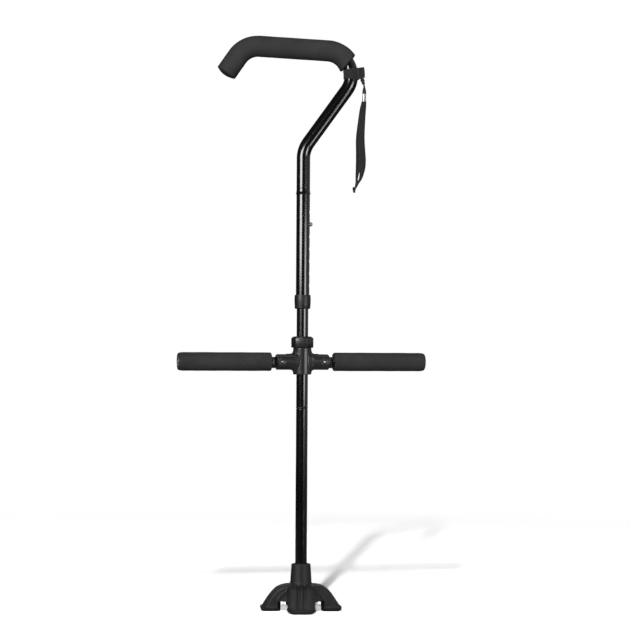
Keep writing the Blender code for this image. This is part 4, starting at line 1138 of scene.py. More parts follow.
# %% [markdown]
# ## Moulded castings
#
# The hub, the hinge tongues and the foot are each one moulding, with rounded corners where one form runs
# into another. Bevelling such junctions edge by edge is slow and often tears. So the forms are piled up as
# overlapping bodies, fused by a voxel remesh, cut, remeshed again and smoothed a little: the smoothing
# leaves the same soft fillets that a mould has.


# %% Moulding helpers
def fused(bm, voxel, passes=0):
    """Overlapping bodies as one skin, softened if asked."""
    base = throwaway(bm)
    skin = base.modifiers.new("fuse", "REMESH")
    skin.mode, skin.voxel_size = "VOXEL", voxel
    if passes:
        soft = base.modifiers.new("soft", "SMOOTH")
        soft.factor, soft.iterations = 0.5, passes
    return evaluated(base)


def moulded(bm, tools, voxel, passes):
    """Fuses overlapping bodies, cuts tools out of them and softens what is left."""
    return fused(cut(fused(bm, voxel), tools, solver="MANIFOLD"), voxel, passes)


def block(low, high, rounding=0.0, segments=4):
    """A box between two corners, with its edges rounded if asked."""
    bm = bmesh.new()
    bmesh.ops.create_cube(bm, size=1)
    bmesh.ops.scale(bm, vec=[b - a for a, b in zip(low, high)], verts=bm.verts)
    bmesh.ops.translate(bm, vec=[(a + b) / 2 for a, b in zip(low, high)], verts=bm.verts)
    return soften(bm, rounding, segments) if rounding else bm


def plate(outline, half_thickness):
    """An (x, z) outline pushed out to both sides of the XZ plane."""
    bm = bmesh.new()
    face = bm.faces.new([bm.verts.new((x, -half_thickness, z)) for x, z in outline])
    grown = bmesh.ops.extrude_face_region(bm, geom=[face])["geom"]
    moved = [v for v in grown if isinstance(v, bmesh.types.BMVert)]
    bmesh.ops.translate(bm, vec=(0, 2 * half_thickness, 0), verts=moved)
    bmesh.ops.recalc_face_normals(bm, faces=bm.faces)
    return bm


def pile(*bodies):
    """Several bmeshes in one."""
    heap = bmesh.new()
    for body in bodies:
        mesh = mesh_of(body, "pile")
        heap.from_mesh(mesh)
        bpy.data.meshes.remove(mesh)
    return heap


def turned_about_z(bm, angle):
    """A bmesh turned about the upright axis."""
    bmesh.ops.rotate(bm, cent=(0, 0, 0), matrix=Matrix.Rotation(angle, 3, "Z"), verts=bm.verts)
    return bm


print("moulding helpers:", [helper.__name__ for helper in (fused, moulded, block, plate, pile)])


# %% [markdown]
# ## Hub
#
# The hub is a cross fitting: an upright barrel that is clamped round the shaft, and two arms, round below
# and squarer above, that swell where they meet it. Each arm ends in a fork for a hinge tongue. Cylinders
# would leave out the swell, so the arms are lofted from rings that grow towards the barrel, then crossed
# with a plate whose upper corners are rounded.

# %% Sizes of the hub
HUB_RADIUS = 0.015025
HUB_BORE = 0.012325
NECK_RADIUS = 0.013625
HUB_BELOW = 0.0207
HUB_ABOVE = 0.0226
NECK_TOP = 0.0363
HUB_LIP = 0.0020
ARM_RADIUS = 0.0132
ARM_REACH = 0.0433
ARM_FILLET = 0.0057
ARM_SQUARE = 2.7  # 2 is a round arm, and more squares its upper half, so that the fork stands tall
LUG_THICKNESS = 0.0120
LUG_NOSE = 0.0082
LUG_FLOOR = 0.0011
PIN_RADIUS = 0.0030
RIVET_SEAT = 0.0051
RIVET_RECESS = 0.0011
HUB_VOXEL = 0.00050
ARM_SINK = 0.0005  # how far the swell starts inside the barrel
ARM_SPARE = 0.001  # how much longer and taller the arms are than the plate that trims them
ARM_LEVEL = 0.004  # level stretch of the trimmed top
OVERCUT = 0.004  # how far a cutter reaches past what it cuts
THROUGH = 0.08  # a drill that leaves the hub at its other end
print("hub:", round(HUB_BELOW + NECK_TOP, 4), "m tall,", 2 * ARM_REACH, "m from fork to fork")


# %% Arms of the hub
def hub_arms():
    """Arms along X, from one reach to the other, swollen at the barrel and squarer above."""
    root = HUB_RADIUS - ARM_SINK
    half = [(root + ARM_FILLET * (1 - cos(t)), ARM_FILLET * (1 - sin(t))) for t in quarter_turn(8)]
    half.append((ARM_REACH + ARM_SPARE, 0.0))
    stations = [*[(-x, rise) for x, rise in reversed(half)], *half]
    bm = bmesh.new()
    loops = []
    for x, rise in stations:
        grow = Matrix.Diagonal((1, 1, 1 + rise / ARM_RADIUS, 1))
        spot = Matrix.Translation((x, 0, 0)) @ grow @ Matrix.Rotation(pi / 2, 4, "Y")
        made = set(bmesh.ops.create_circle(bm, segments=72, radius=ARM_RADIUS, matrix=spot)["verts"])
        for vert in [v for v in made if v.co.z > 0]:
            flat = (abs(vert.co.y) ** ARM_SQUARE + vert.co.z**ARM_SQUARE) ** (1 / ARM_SQUARE)
            vert.co.yz = vert.co.yz * vert.co.yz.length / flat
        loops.append([e for e in bm.edges if e.verts[0] in made and e.verts[1] in made])
    lofted(bm, loops)
    corner = arc((ARM_REACH - ARM_FILLET, ARM_RADIUS - ARM_FILLET), ARM_FILLET, 0, pi / 2, 8)
    top = ARM_RADIUS + ARM_FILLET + ARM_SPARE
    inner = ARM_REACH - ARM_FILLET - ARM_LEVEL
    right = [(ARM_REACH, -top), *corner, (inner, ARM_RADIUS), (HUB_RADIUS + ARM_FILLET, top)]
    outline = [*right, *[(-x, z) for x, z in reversed(right)]]
    return cut(bm, [plate(outline, 2 * ARM_RADIUS)], "INTERSECT")


arms = hub_arms()
print("arms:", len(arms.faces), "faces")

# %% [markdown]
# The fork, the bore and the rivet seats are cut out of the barrel and the arms once these are fused. They
# could be left open in the loft, but a cut is easier to place and the last smoothing rounds its rims.


# %% Hub body
def fork_cuts(side):
    """Slot, pin hole and rivet seats of one arm."""
    sign = 1 if side == "right" else -1
    slot = LUG_THICKNESS / 2 + SLIP
    inner = PIN_REACH - LUG_NOSE - LUG_FLOOR
    ends = sorted((sign * inner, sign * (ARM_REACH + OVERCUT)))
    low = (ends[0], -slot, -LUG_NOSE - LUG_FLOOR)
    high = (ends[1], slot, ARM_RADIUS + ARM_FILLET)
    pin_x = sign * PIN_REACH
    yield block(low, high)
    yield drill(PIN_RADIUS + SLIP, (pin_x, -2 * ARM_RADIUS, 0), (0, 1, 0), 4 * ARM_RADIUS)
    for face in (-1, 1):
        start = (pin_x, face * (ARM_RADIUS - RIVET_RECESS), 0)
        yield drill(RIVET_SEAT, start, (0, face, 0), ARM_RADIUS)


outline = [(0, -HUB_BELOW), (HUB_RADIUS, -HUB_BELOW), (HUB_RADIUS, HUB_ABOVE)]
outline += [(NECK_RADIUS, HUB_ABOVE), (NECK_RADIUS, NECK_TOP), (0, NECK_TOP)]
barrel = spun(outline, 72)
bore = drill(HUB_BORE, (0, 0, HUB_LIP - HUB_BELOW), (0, 0, 1), THROUGH, 72)
lip = drill(shaft_radius + SLIP, (0, 0, -2 * HUB_BELOW), (0, 0, 1), THROUGH, 72)
cuts = [bore, lip, *fork_cuts("left"), *fork_cuts("right")]
bm = moulded(pile(barrel, arms), cuts, HUB_VOXEL, 4)
to_hub = Matrix.Translation((0, 0, hub_z)) @ Matrix.Rotation(HUB_YAW, 4, "Z")
dress("cross_hub", bm, "hub_plastic", "hub", "hub_body", at=to_hub, crease=pi)

# %% [markdown]
# ## Hub nut
#
# A six-sided gland nut above the hub squeezes a collet on the tube. A real nut's crown is turned on a
# lathe, which leaves a curved chamfer on each flat. So a six-sided prism is crossed with a turned cone,
# and its edges are rounded afterwards.

# %% Hub nut
NUT_TURN = radians(-6)
NUT_RADIUS = 0.0184  # at its corners
NUT_HEIGHT = 0.0184
NUT_LID = 0.0040
NUT_CORNER = 0.0008
NUT_EDGE = 0.00035
NUT_CROWN = 0.0034
NUT_CROWN_IN = 0.0046
CROWN_WIDER = 0.0004  # the turned cone stands off the corners
CROWN_BELOW = -0.001
CROWN_ABOVE = NUT_HEIGHT + 0.0002
NUT_BORE_START = -0.002
NUT_EYE_START = 0.001
bm = bmesh.new()
upright = Matrix.Translation((0, 0, NUT_HEIGHT / 2)) @ Matrix.Rotation(pi / 6, 4, "Z")
bmesh.ops.create_cone(
    bm, cap_ends=True, segments=6, radius1=NUT_RADIUS, radius2=NUT_RADIUS, depth=NUT_HEIGHT, matrix=upright
)
soften(bm, NUT_CORNER, 3, radians(55))
wide = NUT_RADIUS + CROWN_WIDER
crown = [(0, CROWN_BELOW), (wide, CROWN_BELOW), (wide, NUT_HEIGHT - NUT_CROWN)]
crown += [(NUT_RADIUS - NUT_CROWN_IN, CROWN_ABOVE), (0, CROWN_ABOVE)]
bm = cut(bm, [spun(crown, 96)], "INTERSECT")
bore_length = NUT_HEIGHT - NUT_LID - NUT_BORE_START
nut_bore = drill(NECK_RADIUS + SLIP, (0, 0, NUT_BORE_START), (0, 0, 1), bore_length, 72)
nut_eye = drill(shaft_radius + SLIP, (0, 0, NUT_EYE_START), (0, 0, 1), NUT_HEIGHT + OVERCUT, 72)
bm = soften(cut(bm, [nut_bore, nut_eye]), NUT_EDGE, 2, radians(28))
to_nut = Matrix.Translation((0, 0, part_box("hub_nut")[0].z)) @ Matrix.Rotation(NUT_TURN, 4, "Z")
dress("gland_nut", bm, "hub_plastic", "nut", "hub_nut", at=to_nut, crease=radians(30))

# %% [markdown]
# ## Hinges
#
# A tongue on each bar turns on a riveted pin in the hub's fork, and a half-round heel under it stops the
# bar level. The tongue is a moulding like the hub, finished in the darker black enamel instead of its black
# plastic, partly for its gloss and partly as painted shade in the gap between arm and grip. The rivet is
# turned steel with a small domed end in a black washer, which is what shows as a bright speck on each arm.

# %% Tongues, pins and washers
LUG_TOP = 0.0078
ARM_TIP = ARM_REACH - PIN_REACH
LUG_SPIGOT = 0.0250
HEEL_RADIUS = 0.0105
RIVET_DOME = 0.0010
RIVET_RADIUS = 0.0021
RIVET_SHOULDER = 0.0004
WASHER_TOP = 0.0007
WASHER_GAP = 0.0001
WASHER_EDGE = 0.0002
LUG_OVERLAP = 0.002  # how far the spigot starts inside the tongue
PIN_DRILL = 0.04
FAR = 0.1  # beyond any part of a tongue
LUG_VOXEL = 0.00045


def hinge_tongue():
    """Tongue, heel and spigot, with the pin's hole at the origin."""
    out = GRIP_START - SLIP
    start = pi / 2 + asin(sqrt(LUG_NOSE**2 - LUG_TOP**2) / LUG_NOSE)
    nose = arc((0, 0), LUG_NOSE, start, 3 * pi / 2, 24)
    tongue = plate([*nose, (out, -LUG_NOSE), (out, LUG_TOP)], LUG_THICKNESS / 2)
    shelf = ARM_TIP + SLIP
    heel = drill(HEEL_RADIUS, (shelf, 0, 0), (1, 0, 0), out - ARM_TIP - SLIP, 72)
    heel = cut(heel, [block((-FAR, -FAR, -shelf), (FAR, FAR, FAR))])
    spigot_radius, spigot_start = BAR_RADIUS - BAR_WALL - SLIP, (out - LUG_OVERLAP, 0, 0)
    spigot = drill(spigot_radius, spigot_start, (1, 0, 0), LUG_SPIGOT + LUG_OVERLAP)
    hole = drill(PIN_RADIUS + SLIP, (0, -PIN_DRILL / 2, 0), (0, 1, 0), PIN_DRILL)
    return moulded(pile(tongue, heel, spigot), [hole], LUG_VOXEL, 2)


def rivet():
    """A pin with a domed end on both faces of the arm."""
    seat = ARM_RADIUS - RIVET_RECESS
    dome = [(RIVET_RADIUS * cos(t), seat + RIVET_DOME * sin(t)) for t in quarter_turn(8)]
    upper = [(PIN_RADIUS, seat - RIVET_SHOULDER), (RIVET_RADIUS, seat), *dome[1:-1], (0, seat + RIVET_DOME)]
    lower = [(r, -z) for r, z in reversed(upper)]
    return spun([*lower, *upper], 48)


def washer(face):
    """The washer on one face of the arm."""
    low, high = ARM_RADIUS - RIVET_RECESS + SLIP, ARM_RADIUS - RIVET_RECESS + WASHER_TOP
    hole, rim = RIVET_RADIUS + WASHER_GAP, RIVET_SEAT - SLIP
    bm = soften(spun([(hole, low), (rim, low), (rim, high), (hole, high)], 48), WASHER_EDGE, 2)
    if face < 0:
        bmesh.ops.rotate(bm, cent=(0, 0, 0), matrix=Matrix.Rotation(pi, 3, "X"), verts=bm.verts)
    return bm


for side, turn in BAR_TURN.items():
    at_pin = Matrix.Translation((0, 0, hub_z)) @ Matrix.Rotation(turn, 4, "Z")
    at_pin = at_pin @ Matrix.Translation((PIN_REACH, 0, 0))
    across = at_pin @ Matrix.Rotation(pi / 2, 4, "X")
    # partly painted shade: the tongues take the darker black enamel instead of their black plastic
    dress(f"{side}_hinge_tongue", hinge_tongue(), "black_plastic", f"{side}_bar", f"{side}_hinge_lug",
          at=at_pin, finish=FINISH["black_enamel"], crease=pi)
    dress(f"{side}_rivet", rivet(), "bright_steel", "hub", f"{side}_hinge_pin", at=across)
    dress(f"{side}_rivet_washers", pile(washer(1), washer(-1)), "hub_plastic", "hub", at=across)

# %% [markdown]
# ## Rubber foot
#
# The foot is one piece of moulded rubber: a tapered socket on a dome, and four legs that arch down to
# padded feet, so that one of them always grips when the cane is tilted. Each leg has a back that narrows,
# two flutes down it and grooves under its pad. One solid drawn as a whole would be hard to change, so
# each form is made on its own from the sizes below, and the remesh fuses them all.

# %% Sizes of the foot
FOOT_REACH = 0.0666
PAD_LIP = 0.0030
PAD_SIDE_LIP = 0.0018
PAD_DEPTH = 0.0338
PAD_THICKNESS = 0.0070
PAD_CHAMFER = 0.0072
PAD_BEVEL_SIDE = 0.0062  # how far the pad's underside is drawn in at its sides
PAD_BEVEL_END = 0.0034  # and at its outer end
LEG_WIDTH = 0.0440
LEG_TAPER = 0.20  # share of its width that a leg's back loses towards the pad
LEG_ROUND = 0.0050
LEG_BACK = [
    # distance from the middle and height of a leg's back, as far as the pad
    (0.0, 0.0428), (0.0184, 0.0427), (0.0286, 0.0418), (0.0374, 0.0387), (0.0439, 0.0338),
    (0.0505, 0.0266), (0.0559, 0.0190), (0.0608, 0.0114), (0.0634, 0.0072),
]
VALLEY_RADIUS = 0.0436
VALLEY_DROP = 0.0024
ARCH_HEIGHT = 0.0174
ARCH_ROUND = 0.0030
ARCH_FLARE = 0.0050  # how much the inner end of a leg is rounded
SOCKET_FLOOR_Z = 0.0303
SOCKET_RADIUS = 0.0156
SOCKET_TAPER = 0.0024
SOCKET_ROUND = 0.0016
FLUTE_RADIUS = 0.0024
FLUTE_OFFSET = 0.0048
FLUTE_PROUD_LOW = 0.0002  # how far the flute's axis stands off the leg at its foot
FLUTE_PROUD_HIGH = -0.0022  # and under the socket
TREADS = (0.0420, 0.0490, 0.0560)
TREAD_WIDTH = 0.0026
TREAD_DEPTH = 0.0016
TREAD_HALF = 0.0120
FOOT_TURN = radians(1.5)
FOOT_VOXEL = 0.00078
foot_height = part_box("quad_foot")[1].z
dome_radius = FOOT_REACH - PAD_LIP
dome_height = LEG_BACK[0][1]
arch_half = FOOT_REACH - PAD_DEPTH
print("foot", round(foot_height, 4), "m tall,", 2 * FOOT_REACH, "m across")

# %% [markdown]
# Two opposite legs are one bar, pushed out from the drawn outline of their backs. A few slices across it
# give the back points to narrow by, towards the pads.

# %% Legs
LEG_CUTS = (0.5, 0.6, 0.7, 0.8, 0.9)  # shares of the reach
LEG_EVEN = 0.45  # share of the reach over which the back keeps its width
LEG_NARROWS = 0.55  # and over which it narrows


def eased(rows, between):
    """More rows through the given ones, along a smooth curve."""
    ends = [rows[0], *rows, rows[-1]]
    for i in range(len(rows) - 1):
        a, b, c, d = (Vector(row) for row in ends[i : i + 4])
        for t in [step / between for step in range(between)]:
            yield 0.5 * (2 * b + (c - a) * t + (2 * a - 5 * b + 4 * c - d) * t**2
                         + (3 * b - a - 3 * c + d) * t**3)
    yield Vector(rows[-1])


def leg_back():
    """The backs of two opposite legs as one (x, z) curve, from pad to pad."""
    right = [tuple(spot) for spot in eased(LEG_BACK, 5)]
    return [*reversed(right), *[(-x, z) for x, z in right[1:]]]


def is_leg_back(edge, base):
    """Whether an edge runs along the outline, above the pad."""
    a, b = (v.co for v in edge.verts)
    return abs(a.y - b.y) < 1e-6 and max(a.z, b.z) > base + 1e-5


def slice_across(bm, spot, normal):
    """Adds edges where a plane meets the bmesh."""
    everything = bm.verts[:] + bm.edges[:] + bm.faces[:]
    bmesh.ops.bisect_plane(bm, geom=everything, plane_co=spot, plane_no=normal)


def leg_pair():
    """One bar over two opposite pads, with a bevelled back that narrows towards them."""
    base = PAD_THICKNESS / 2
    bm = plate([(dome_radius, base), *leg_back(), (-dome_radius, base)], LEG_WIDTH / 2)
    bevelled(bm, [e for e in bm.edges if is_leg_back(e, base)], LEG_ROUND, 3)
    for x in [sign * dome_radius * share for share in LEG_CUTS for sign in (-1, 1)]:
        slice_across(bm, (x, 0, 0), (1, 0, 0))
    for vert in bm.verts:
        share = max(0.0, abs(vert.co.x) - LEG_EVEN * dome_radius) / (LEG_NARROWS * dome_radius)
        if abs(vert.co.y) < LEG_WIDTH / 2 - 1e-5:
            vert.co.y *= 1 - LEG_TAPER * share
    return bm


print("points along two legs:", len(leg_back()))

# %% [markdown]
# The pads are blocks with chamfered corners, drawn in underneath. The flutes are grooves. They could be
# sculpted, but rods that follow the legs' backs cut them evenly, and as these lie deeper towards the
# socket, the grooves close up there.

# %% Pads and flutes
PAD_OVERLAP = 0.004  # how far a pad runs in under its leg
PAD_SLICE = 0.8  # share of the pad's thickness over which its underside is drawn in


def pad(sign):
    """One pad: a chamfered plan, drawn in underneath at its sides and its outer end."""
    low = (arch_half - PAD_OVERLAP, -LEG_WIDTH / 2 - PAD_SIDE_LIP, 0)
    high = (FOOT_REACH, LEG_WIDTH / 2 + PAD_SIDE_LIP, PAD_THICKNESS)
    bm = block(low, high)
    corners = [e for e in bm.edges if abs(e.verts[0].co.z - e.verts[1].co.z) > 1e-4]
    outer = [e for e in corners if e.verts[0].co.x > arch_half]
    bevelled(bm, outer, PAD_CHAMFER, 1)
    slice_across(bm, (0, 0, PAD_SLICE * PAD_THICKNESS), (0, 0, 1))
    for vert in bm.verts:
        if vert.co.z < PAD_THICKNESS / 2:
            vert.co.y *= 1 - PAD_BEVEL_SIDE / high[1]
            vert.co.x -= PAD_BEVEL_END if vert.co.x > arch_half else 0
    return turned_about_z(bm, 0 if sign > 0 else pi)


def flutes():
    """Two bent rods that lie in the legs' backs, deeper towards the socket."""
    rods = []
    for offset in (-FLUTE_OFFSET, FLUTE_OFFSET):
        spots = []
        for x, z in leg_back():
            far = abs(x) / dome_radius
            proud = FLUTE_PROUD_HIGH + (FLUTE_PROUD_LOW - FLUTE_PROUD_HIGH) * far
            spots.append(Vector((x + proud * x / dome_radius, offset, z + proud * z / dome_height)))
        rods.append(swept(spots, FLUTE_RADIUS, 20))
    return pile(*rods)


print("each flute is cut by a rod through", len(leg_back()), "points")

# %% [markdown]
# Underneath, the foot is hollow. A plain block would leave the legs' inner ends flat, so the block's walls
# are sliced and give way to both sides of each leg, which rounds the ends. Bars cut the treads.

# %% Arch and treads
ARCH_SLICES = 6  # to each side of the middle
ARCH_WALL = 0.86  # points beyond this share of the half width belong to a wall
TREAD_BELOW = -0.004


def arch_hollow():
    """The space under the foot."""
    reach = Vector((arch_half, arch_half, ARCH_HEIGHT))
    bm = block(-reach, reach, ARCH_ROUND, 4)
    for step in range(1 - ARCH_SLICES, ARCH_SLICES):
        at = arch_half * step / ARCH_SLICES
        for normal in ((1, 0, 0), (0, 1, 0)):
            slice_across(bm, (at, at, 0), normal)
    half_leg = LEG_WIDTH / 2
    for vert in bm.verts:
        x, y = vert.co.x, vert.co.y
        if abs(x) > ARCH_WALL * arch_half:
            vert.co.x += copysign(ARCH_FLARE * min(1.0, abs(y) / half_leg) ** 2, x)
        if abs(y) > ARCH_WALL * arch_half:
            vert.co.y += copysign(ARCH_FLARE * min(1.0, abs(x) / half_leg) ** 2, y)
    return bm


def tread():
    """Grooves across two opposite pads."""
    width, half = TREAD_WIDTH / 2, TREAD_HALF
    centres = [sign * x for x in TREADS for sign in (-1, 1)]
    bars = [block((x - width, -half, TREAD_BELOW), (x + width, half, TREAD_DEPTH)) for x in centres]
    return pile(*bars)


print("treads:", 4 * len(TREADS), "grooves")

# %% [markdown]
# Now the forms are put together: dome, legs and pads are fused, the rods' grooves are cut, the socket's
# cone is added, and the hollows are cut last. The foot is set on the tube a little turned, as one that is
# pushed on by hand is.

# %% Rubber foot
CONE_SINK = 0.004  # how far the cone starts below the top of the dome
DOME_FOOT = 0.006
SOCKET_DRILL = 0.06
wide = SOCKET_RADIUS + SOCKET_TAPER
rim = arc((SOCKET_RADIUS - SOCKET_ROUND, foot_height - SOCKET_ROUND), SOCKET_ROUND, 0, pi / 2, 5)
foot_of_cone = [(0, PAD_THICKNESS), (wide, PAD_THICKNESS), (wide, dome_height - CONE_SINK)]
cone = spun([*foot_of_cone, *rim, (0, foot_height)])
rise = dome_height - VALLEY_DROP - ARCH_HEIGHT
dome = [(VALLEY_RADIUS * cos(t), ARCH_HEIGHT + rise * sin(t)) for t in quarter_turn(16)[:-1]]
bodies = [spun([(0, DOME_FOOT), (VALLEY_RADIUS, DOME_FOOT), *dome, (0, ARCH_HEIGHT + rise)])]
fluting = []
hollows = []
for quarter in (0, pi / 2):
    bodies.append(turned_about_z(leg_pair(), quarter))
    bodies += [turned_about_z(pad(sign), quarter) for sign in (-1, 1)]
    fluting.append(turned_about_z(flutes(), quarter))
    hollows.append(turned_about_z(tread(), quarter))
legs = cut(fused(pile(*bodies), FOOT_VOXEL), fluting, solver="MANIFOLD")
hollows.append(arch_hollow())
hollows.append(drill(shaft_radius + SLIP, (0, 0, SOCKET_FLOOR_Z), (0, 0, 1), SOCKET_DRILL, 72))
bm = turned_about_z(moulded(pile(legs, cone), hollows, FOOT_VOXEL, 4), FOOT_TURN)
dress("rubber_foot", bm, "foot_rubber", "lower_section", "quad_foot", crease=pi)

# %% [markdown]
# ## Wrist strap: band and tab
#
# A band of webbing is wrapped round the bend below the foam, and its two ends are brought together and
# sewn into a tab that sticks out. The wrap could be a flat ring with a plate stuck on, but real webbing is
# one strip. So the strip's path, round the tube and out to the tab, is swung about a centre further off
# than the bend's, which keeps the band nearly straight. A Solidify modifier gives it the thickness of the
# cloth.

# %% Cloth helpers
def cloth_layers(bm):
    """Two numbers for each point: its place across and along the flat cut, in metres."""
    return bm.verts.layers.float.new("across"), bm.verts.layers.float.new("along")


def cloth_uv(bm, across, along):
    """Writes the flat cut's coordinates to the UV map."""
    uv = bm.loops.layers.uv.new("flat_cut")
    for face in bm.faces:
        for loop in face.loops:
            loop[uv].uv = (loop.vert[across], loop.vert[along])


def cloth_thickness(piece, thickness):
    """Thickens a sheet to both sides and rounds its edges."""
    thick = piece.modifiers.new("cloth", "SOLIDIFY")
    thick.thickness, thick.offset = thickness, 0.0
    smooth = piece.modifiers.new("round", "SUBSURF")
    smooth.levels = smooth.render_levels = 1


def length_of(points):
    """Length of a line through points."""
    return sum((Vector(b) - Vector(a)).length for a, b in zip(points, points[1:]))


print("cloth helpers:", [helper.__name__ for helper in (cloth_layers, cloth_uv, cloth_thickness)])

# %% Band and tab
BAND_TURN = radians(83)
BAND_HEIGHT = 0.0172
BAND_RADIUS = 0.0122
BAND_THICKNESS = 0.0013
BAND_SWING = 0.080  # radius that the strip is swung about, flatter than the bend
BAND_ROWS = 10
WRAP_ENDS = (radians(16), radians(344))
WRAP_STEPS = 44
TAB_TIP = 0.0222
TAB_STEP = 0.0014
TAB_STEPS = 5
TAB_HALF_GAP = 0.0008
TAB_ROOT = [(0.0151, 0.0010), (0.0138, 0.0016)]  # where the tab's two faces part to go round the tube
TAB_RAISE = 0.0022
TAB_SHRINK = 0.19
TAB_BLEND = 0.0034


def band_path():
    """The strip's path in the plane square to the tube: out along y, with x away from the bend."""
    tip = [(TAB_TIP - TAB_STEP * i, TAB_HALF_GAP) for i in range(TAB_STEPS)] + TAB_ROOT
    wrap = arc((0, 0), BAND_RADIUS, *WRAP_ENDS, WRAP_STEPS)
    return [*tip, *wrap, *[(x, -y) for x, y in reversed(tip)]]


def tab_lift(reach):
    """How much of the tab's rise and narrowing a point takes, this far out from the wrap."""
    share = min(1.0, max(0.0, reach / TAB_BLEND))
    return share * share * (3 - 2 * share)


outward = (front.start - front.centre).normalized()
tab_middle = front.centre + Matrix.Rotation(BAND_TURN, 3, front.axis) @ (outward * BEND_RADII[1])
path = band_path()
bm = bmesh.new()
across, along = cloth_layers(bm)
half_span = BAND_HEIGHT / BAND_SWING / 2
aside = Matrix.Rotation(BAND_TURN, 3, front.axis) @ outward
pivot = tab_middle - aside * BAND_SWING
start = Matrix.Rotation(-half_span, 3, front.axis)
spots = [pivot + start @ (aside * (BAND_SWING + x) + Vector((0, y, 0))) for x, y in path]
chain, edges = drawn_line(bm, spots)
for index, vert in enumerate(chain):
    vert[along] = length_of(path[: index + 1])
bmesh.ops.spin(
    bm, geom=chain + edges, cent=pivot, axis=front.axis, angle=2 * half_span, steps=BAND_ROWS
)
bmesh.ops.recalc_face_normals(bm, faces=bm.faces)
for vert in bm.verts:
    arm = vert.co - pivot
    reach = Vector((arm.x, 0, arm.z)).length - BAND_SWING - BAND_RADIUS
    vert[across] = arm.z
    rise = vert.co.z - tab_middle.z
    vert.co.z += (TAB_RAISE - TAB_SHRINK * rise) * tab_lift(reach)
cloth_uv(bm, across, along)
band_length = length_of(path)
band = dress("strap_band_webbing", bm, "webbing", "handle_section", "strap_band", "strap_tab",
             finish=band_webbing, crease=pi)
cloth_thickness(band, BAND_THICKNESS)

# %% [markdown]
# Two rows of lock stitch close the tab. Each stitch is a short, plump thread, so it is a sphere that is
# stretched along the row and half sunk in the cloth, repeated on both faces.

# %% Stitching
STITCH_LENGTH = 0.0021
STITCH_PITCH = 0.0029
STITCH_RADIUS = 0.00032
STITCH_COLUMNS = (0.0172, 0.0205)
STITCHES = 6
STITCH_PROUD = 0.0001
bm = bmesh.new()
for column in STITCH_COLUMNS:
    centre = tab_middle + Vector((column, 0, TAB_RAISE * tab_lift(column - BAND_RADIUS)))
    for index in range(STITCHES):
        rise = (index - (STITCHES - 1) / 2) * STITCH_PITCH
        for face in (-1, 1):
            skin = face * (TAB_HALF_GAP + BAND_THICKNESS / 2 + STITCH_PROUD)
            stretch = Matrix.Diagonal((1, 1, STITCH_LENGTH / 2 / STITCH_RADIUS, 1))
            spot = Matrix.Translation(centre + Vector((0, skin, rise))) @ stretch
            bmesh.ops.create_uvsphere(bm, u_segments=8, v_segments=6, radius=STITCH_RADIUS, matrix=spot)
stitching = dress("tab_stitching", bm, "webbing", "handle_section", finish=sewing_thread, crease=pi)
print("band cut", round(BAND_HEIGHT * 1000, 1), "x", round(band_length * 1000, 1), "mm")

# %% [markdown]
# ## Wrist strap: link, bead and crimp
#
# The loop hangs from the tab on a short two-strand cord, through a dark bead and a silver crimp. A plain
# rod would miss the twist of the cord, so two small rings are swept along helices. Bead and crimp are
# turned, the crimp with two grooves where the pliers closed it.

# %% Link
HANG_SHIFT = 0.0013  # the strap hangs this much further out than its solids
LINK_STRAND = 0.00120
LINK_STEPS = 40
LINK_TURNS = 1.6
LINK_SPREAD = 0.75  # strands run this many radii off the middle at the bead, and twice that at the tab
LINK_TOP_SHIFT = -0.0048
LINK_SUNK = 0.001  # the strands start this far down in the bead
LINK_LONGER = 0.0035  # and are this much longer than their solid
link_low, link_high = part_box("strap_link")
hang_x = (link_low.x + link_high.x) / 2 + HANG_SHIFT


def strand_taper(t):
    """Share of the strand's radius: thin at the bead, plump in the tab."""
    return 0.6 + min(1.1, max(0.0, 3.6 * t - 0.5))


strands = []
for first in (0, pi):
    strand = []
    for t in shares(LINK_STEPS):
        turn = first + 2 * pi * LINK_TURNS * t
        wide = LINK_STRAND * (LINK_SPREAD + LINK_SPREAD * t)
        x = hang_x + LINK_TOP_SHIFT * t + wide * cos(turn)
        z = link_low.z - LINK_SUNK + (link_high.z - link_low.z + LINK_LONGER) * t
        strand.append(Vector((x, wide * sin(turn), z)))
    strands.append(swept(strand, LINK_STRAND, taper=strand_taper))
dress("twisted_link", pile(*strands), "webbing", "handle_section", "strap_link", finish=sewing_thread,
      crease=pi)

# %% Bead and crimp
CRIMP_DROP = 0.0012  # bead and crimp hang lower than their solids, by this or twice this
TEARDROP = [
    # shares of the bead's radius and height
    (0.88, 0.0), (1.0, 0.07), (0.98, 0.22), (0.86, 0.44), (0.66, 0.66), (0.45, 0.86), (0.36, 1.0),
]
BEAD_EDGE = 0.0004
CRIMP_EDGE = 0.0006
CRIMP_STEPS = 56
CRIMP_GROOVES = (0.32, 0.68)  # shares of the crimp's height
CRIMP_GROOVE_HALF = 0.0011
CRIMP_DEPTH = 0.00012
low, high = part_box("strap_bead")
low.z -= 2 * CRIMP_DROP
bead_radius, tall = (high.x - low.x) / 2, high.z - low.z
teardrop = [(0, 0), *[(bead_radius * r, tall * z) for r, z in TEARDROP], (0, tall)]
bm = soften(spun(teardrop, 48), BEAD_EDGE, 3, radians(20))
hung = Matrix.Translation((hang_x, 0, low.z))
dress("cord_bead", bm, "black_plastic", "handle_section", "strap_bead", at=hung)

low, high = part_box("strap_ferrule")
low.z -= CRIMP_DROP
high.z -= 2 * CRIMP_DROP
crimp_radius, tall = (high.x - low.x) / 2, high.z - low.z
skin = []
for i in range(CRIMP_STEPS + 1):
    z = tall * i / CRIMP_STEPS
    dent = sum(max(0.0, 1 - ((z - tall * share) / CRIMP_GROOVE_HALF) ** 2) for share in CRIMP_GROOVES)
    skin.append((crimp_radius - CRIMP_DEPTH * dent, z))
bm = soften(spun([(0, 0), *skin, (0, tall)], 48), CRIMP_EDGE, 3, radians(60))
hung = Matrix.Translation((hang_x, 0, low.z))
dress("silver_crimp", bm, "bright_steel", "handle_section", "strap_ferrule", at=hung)

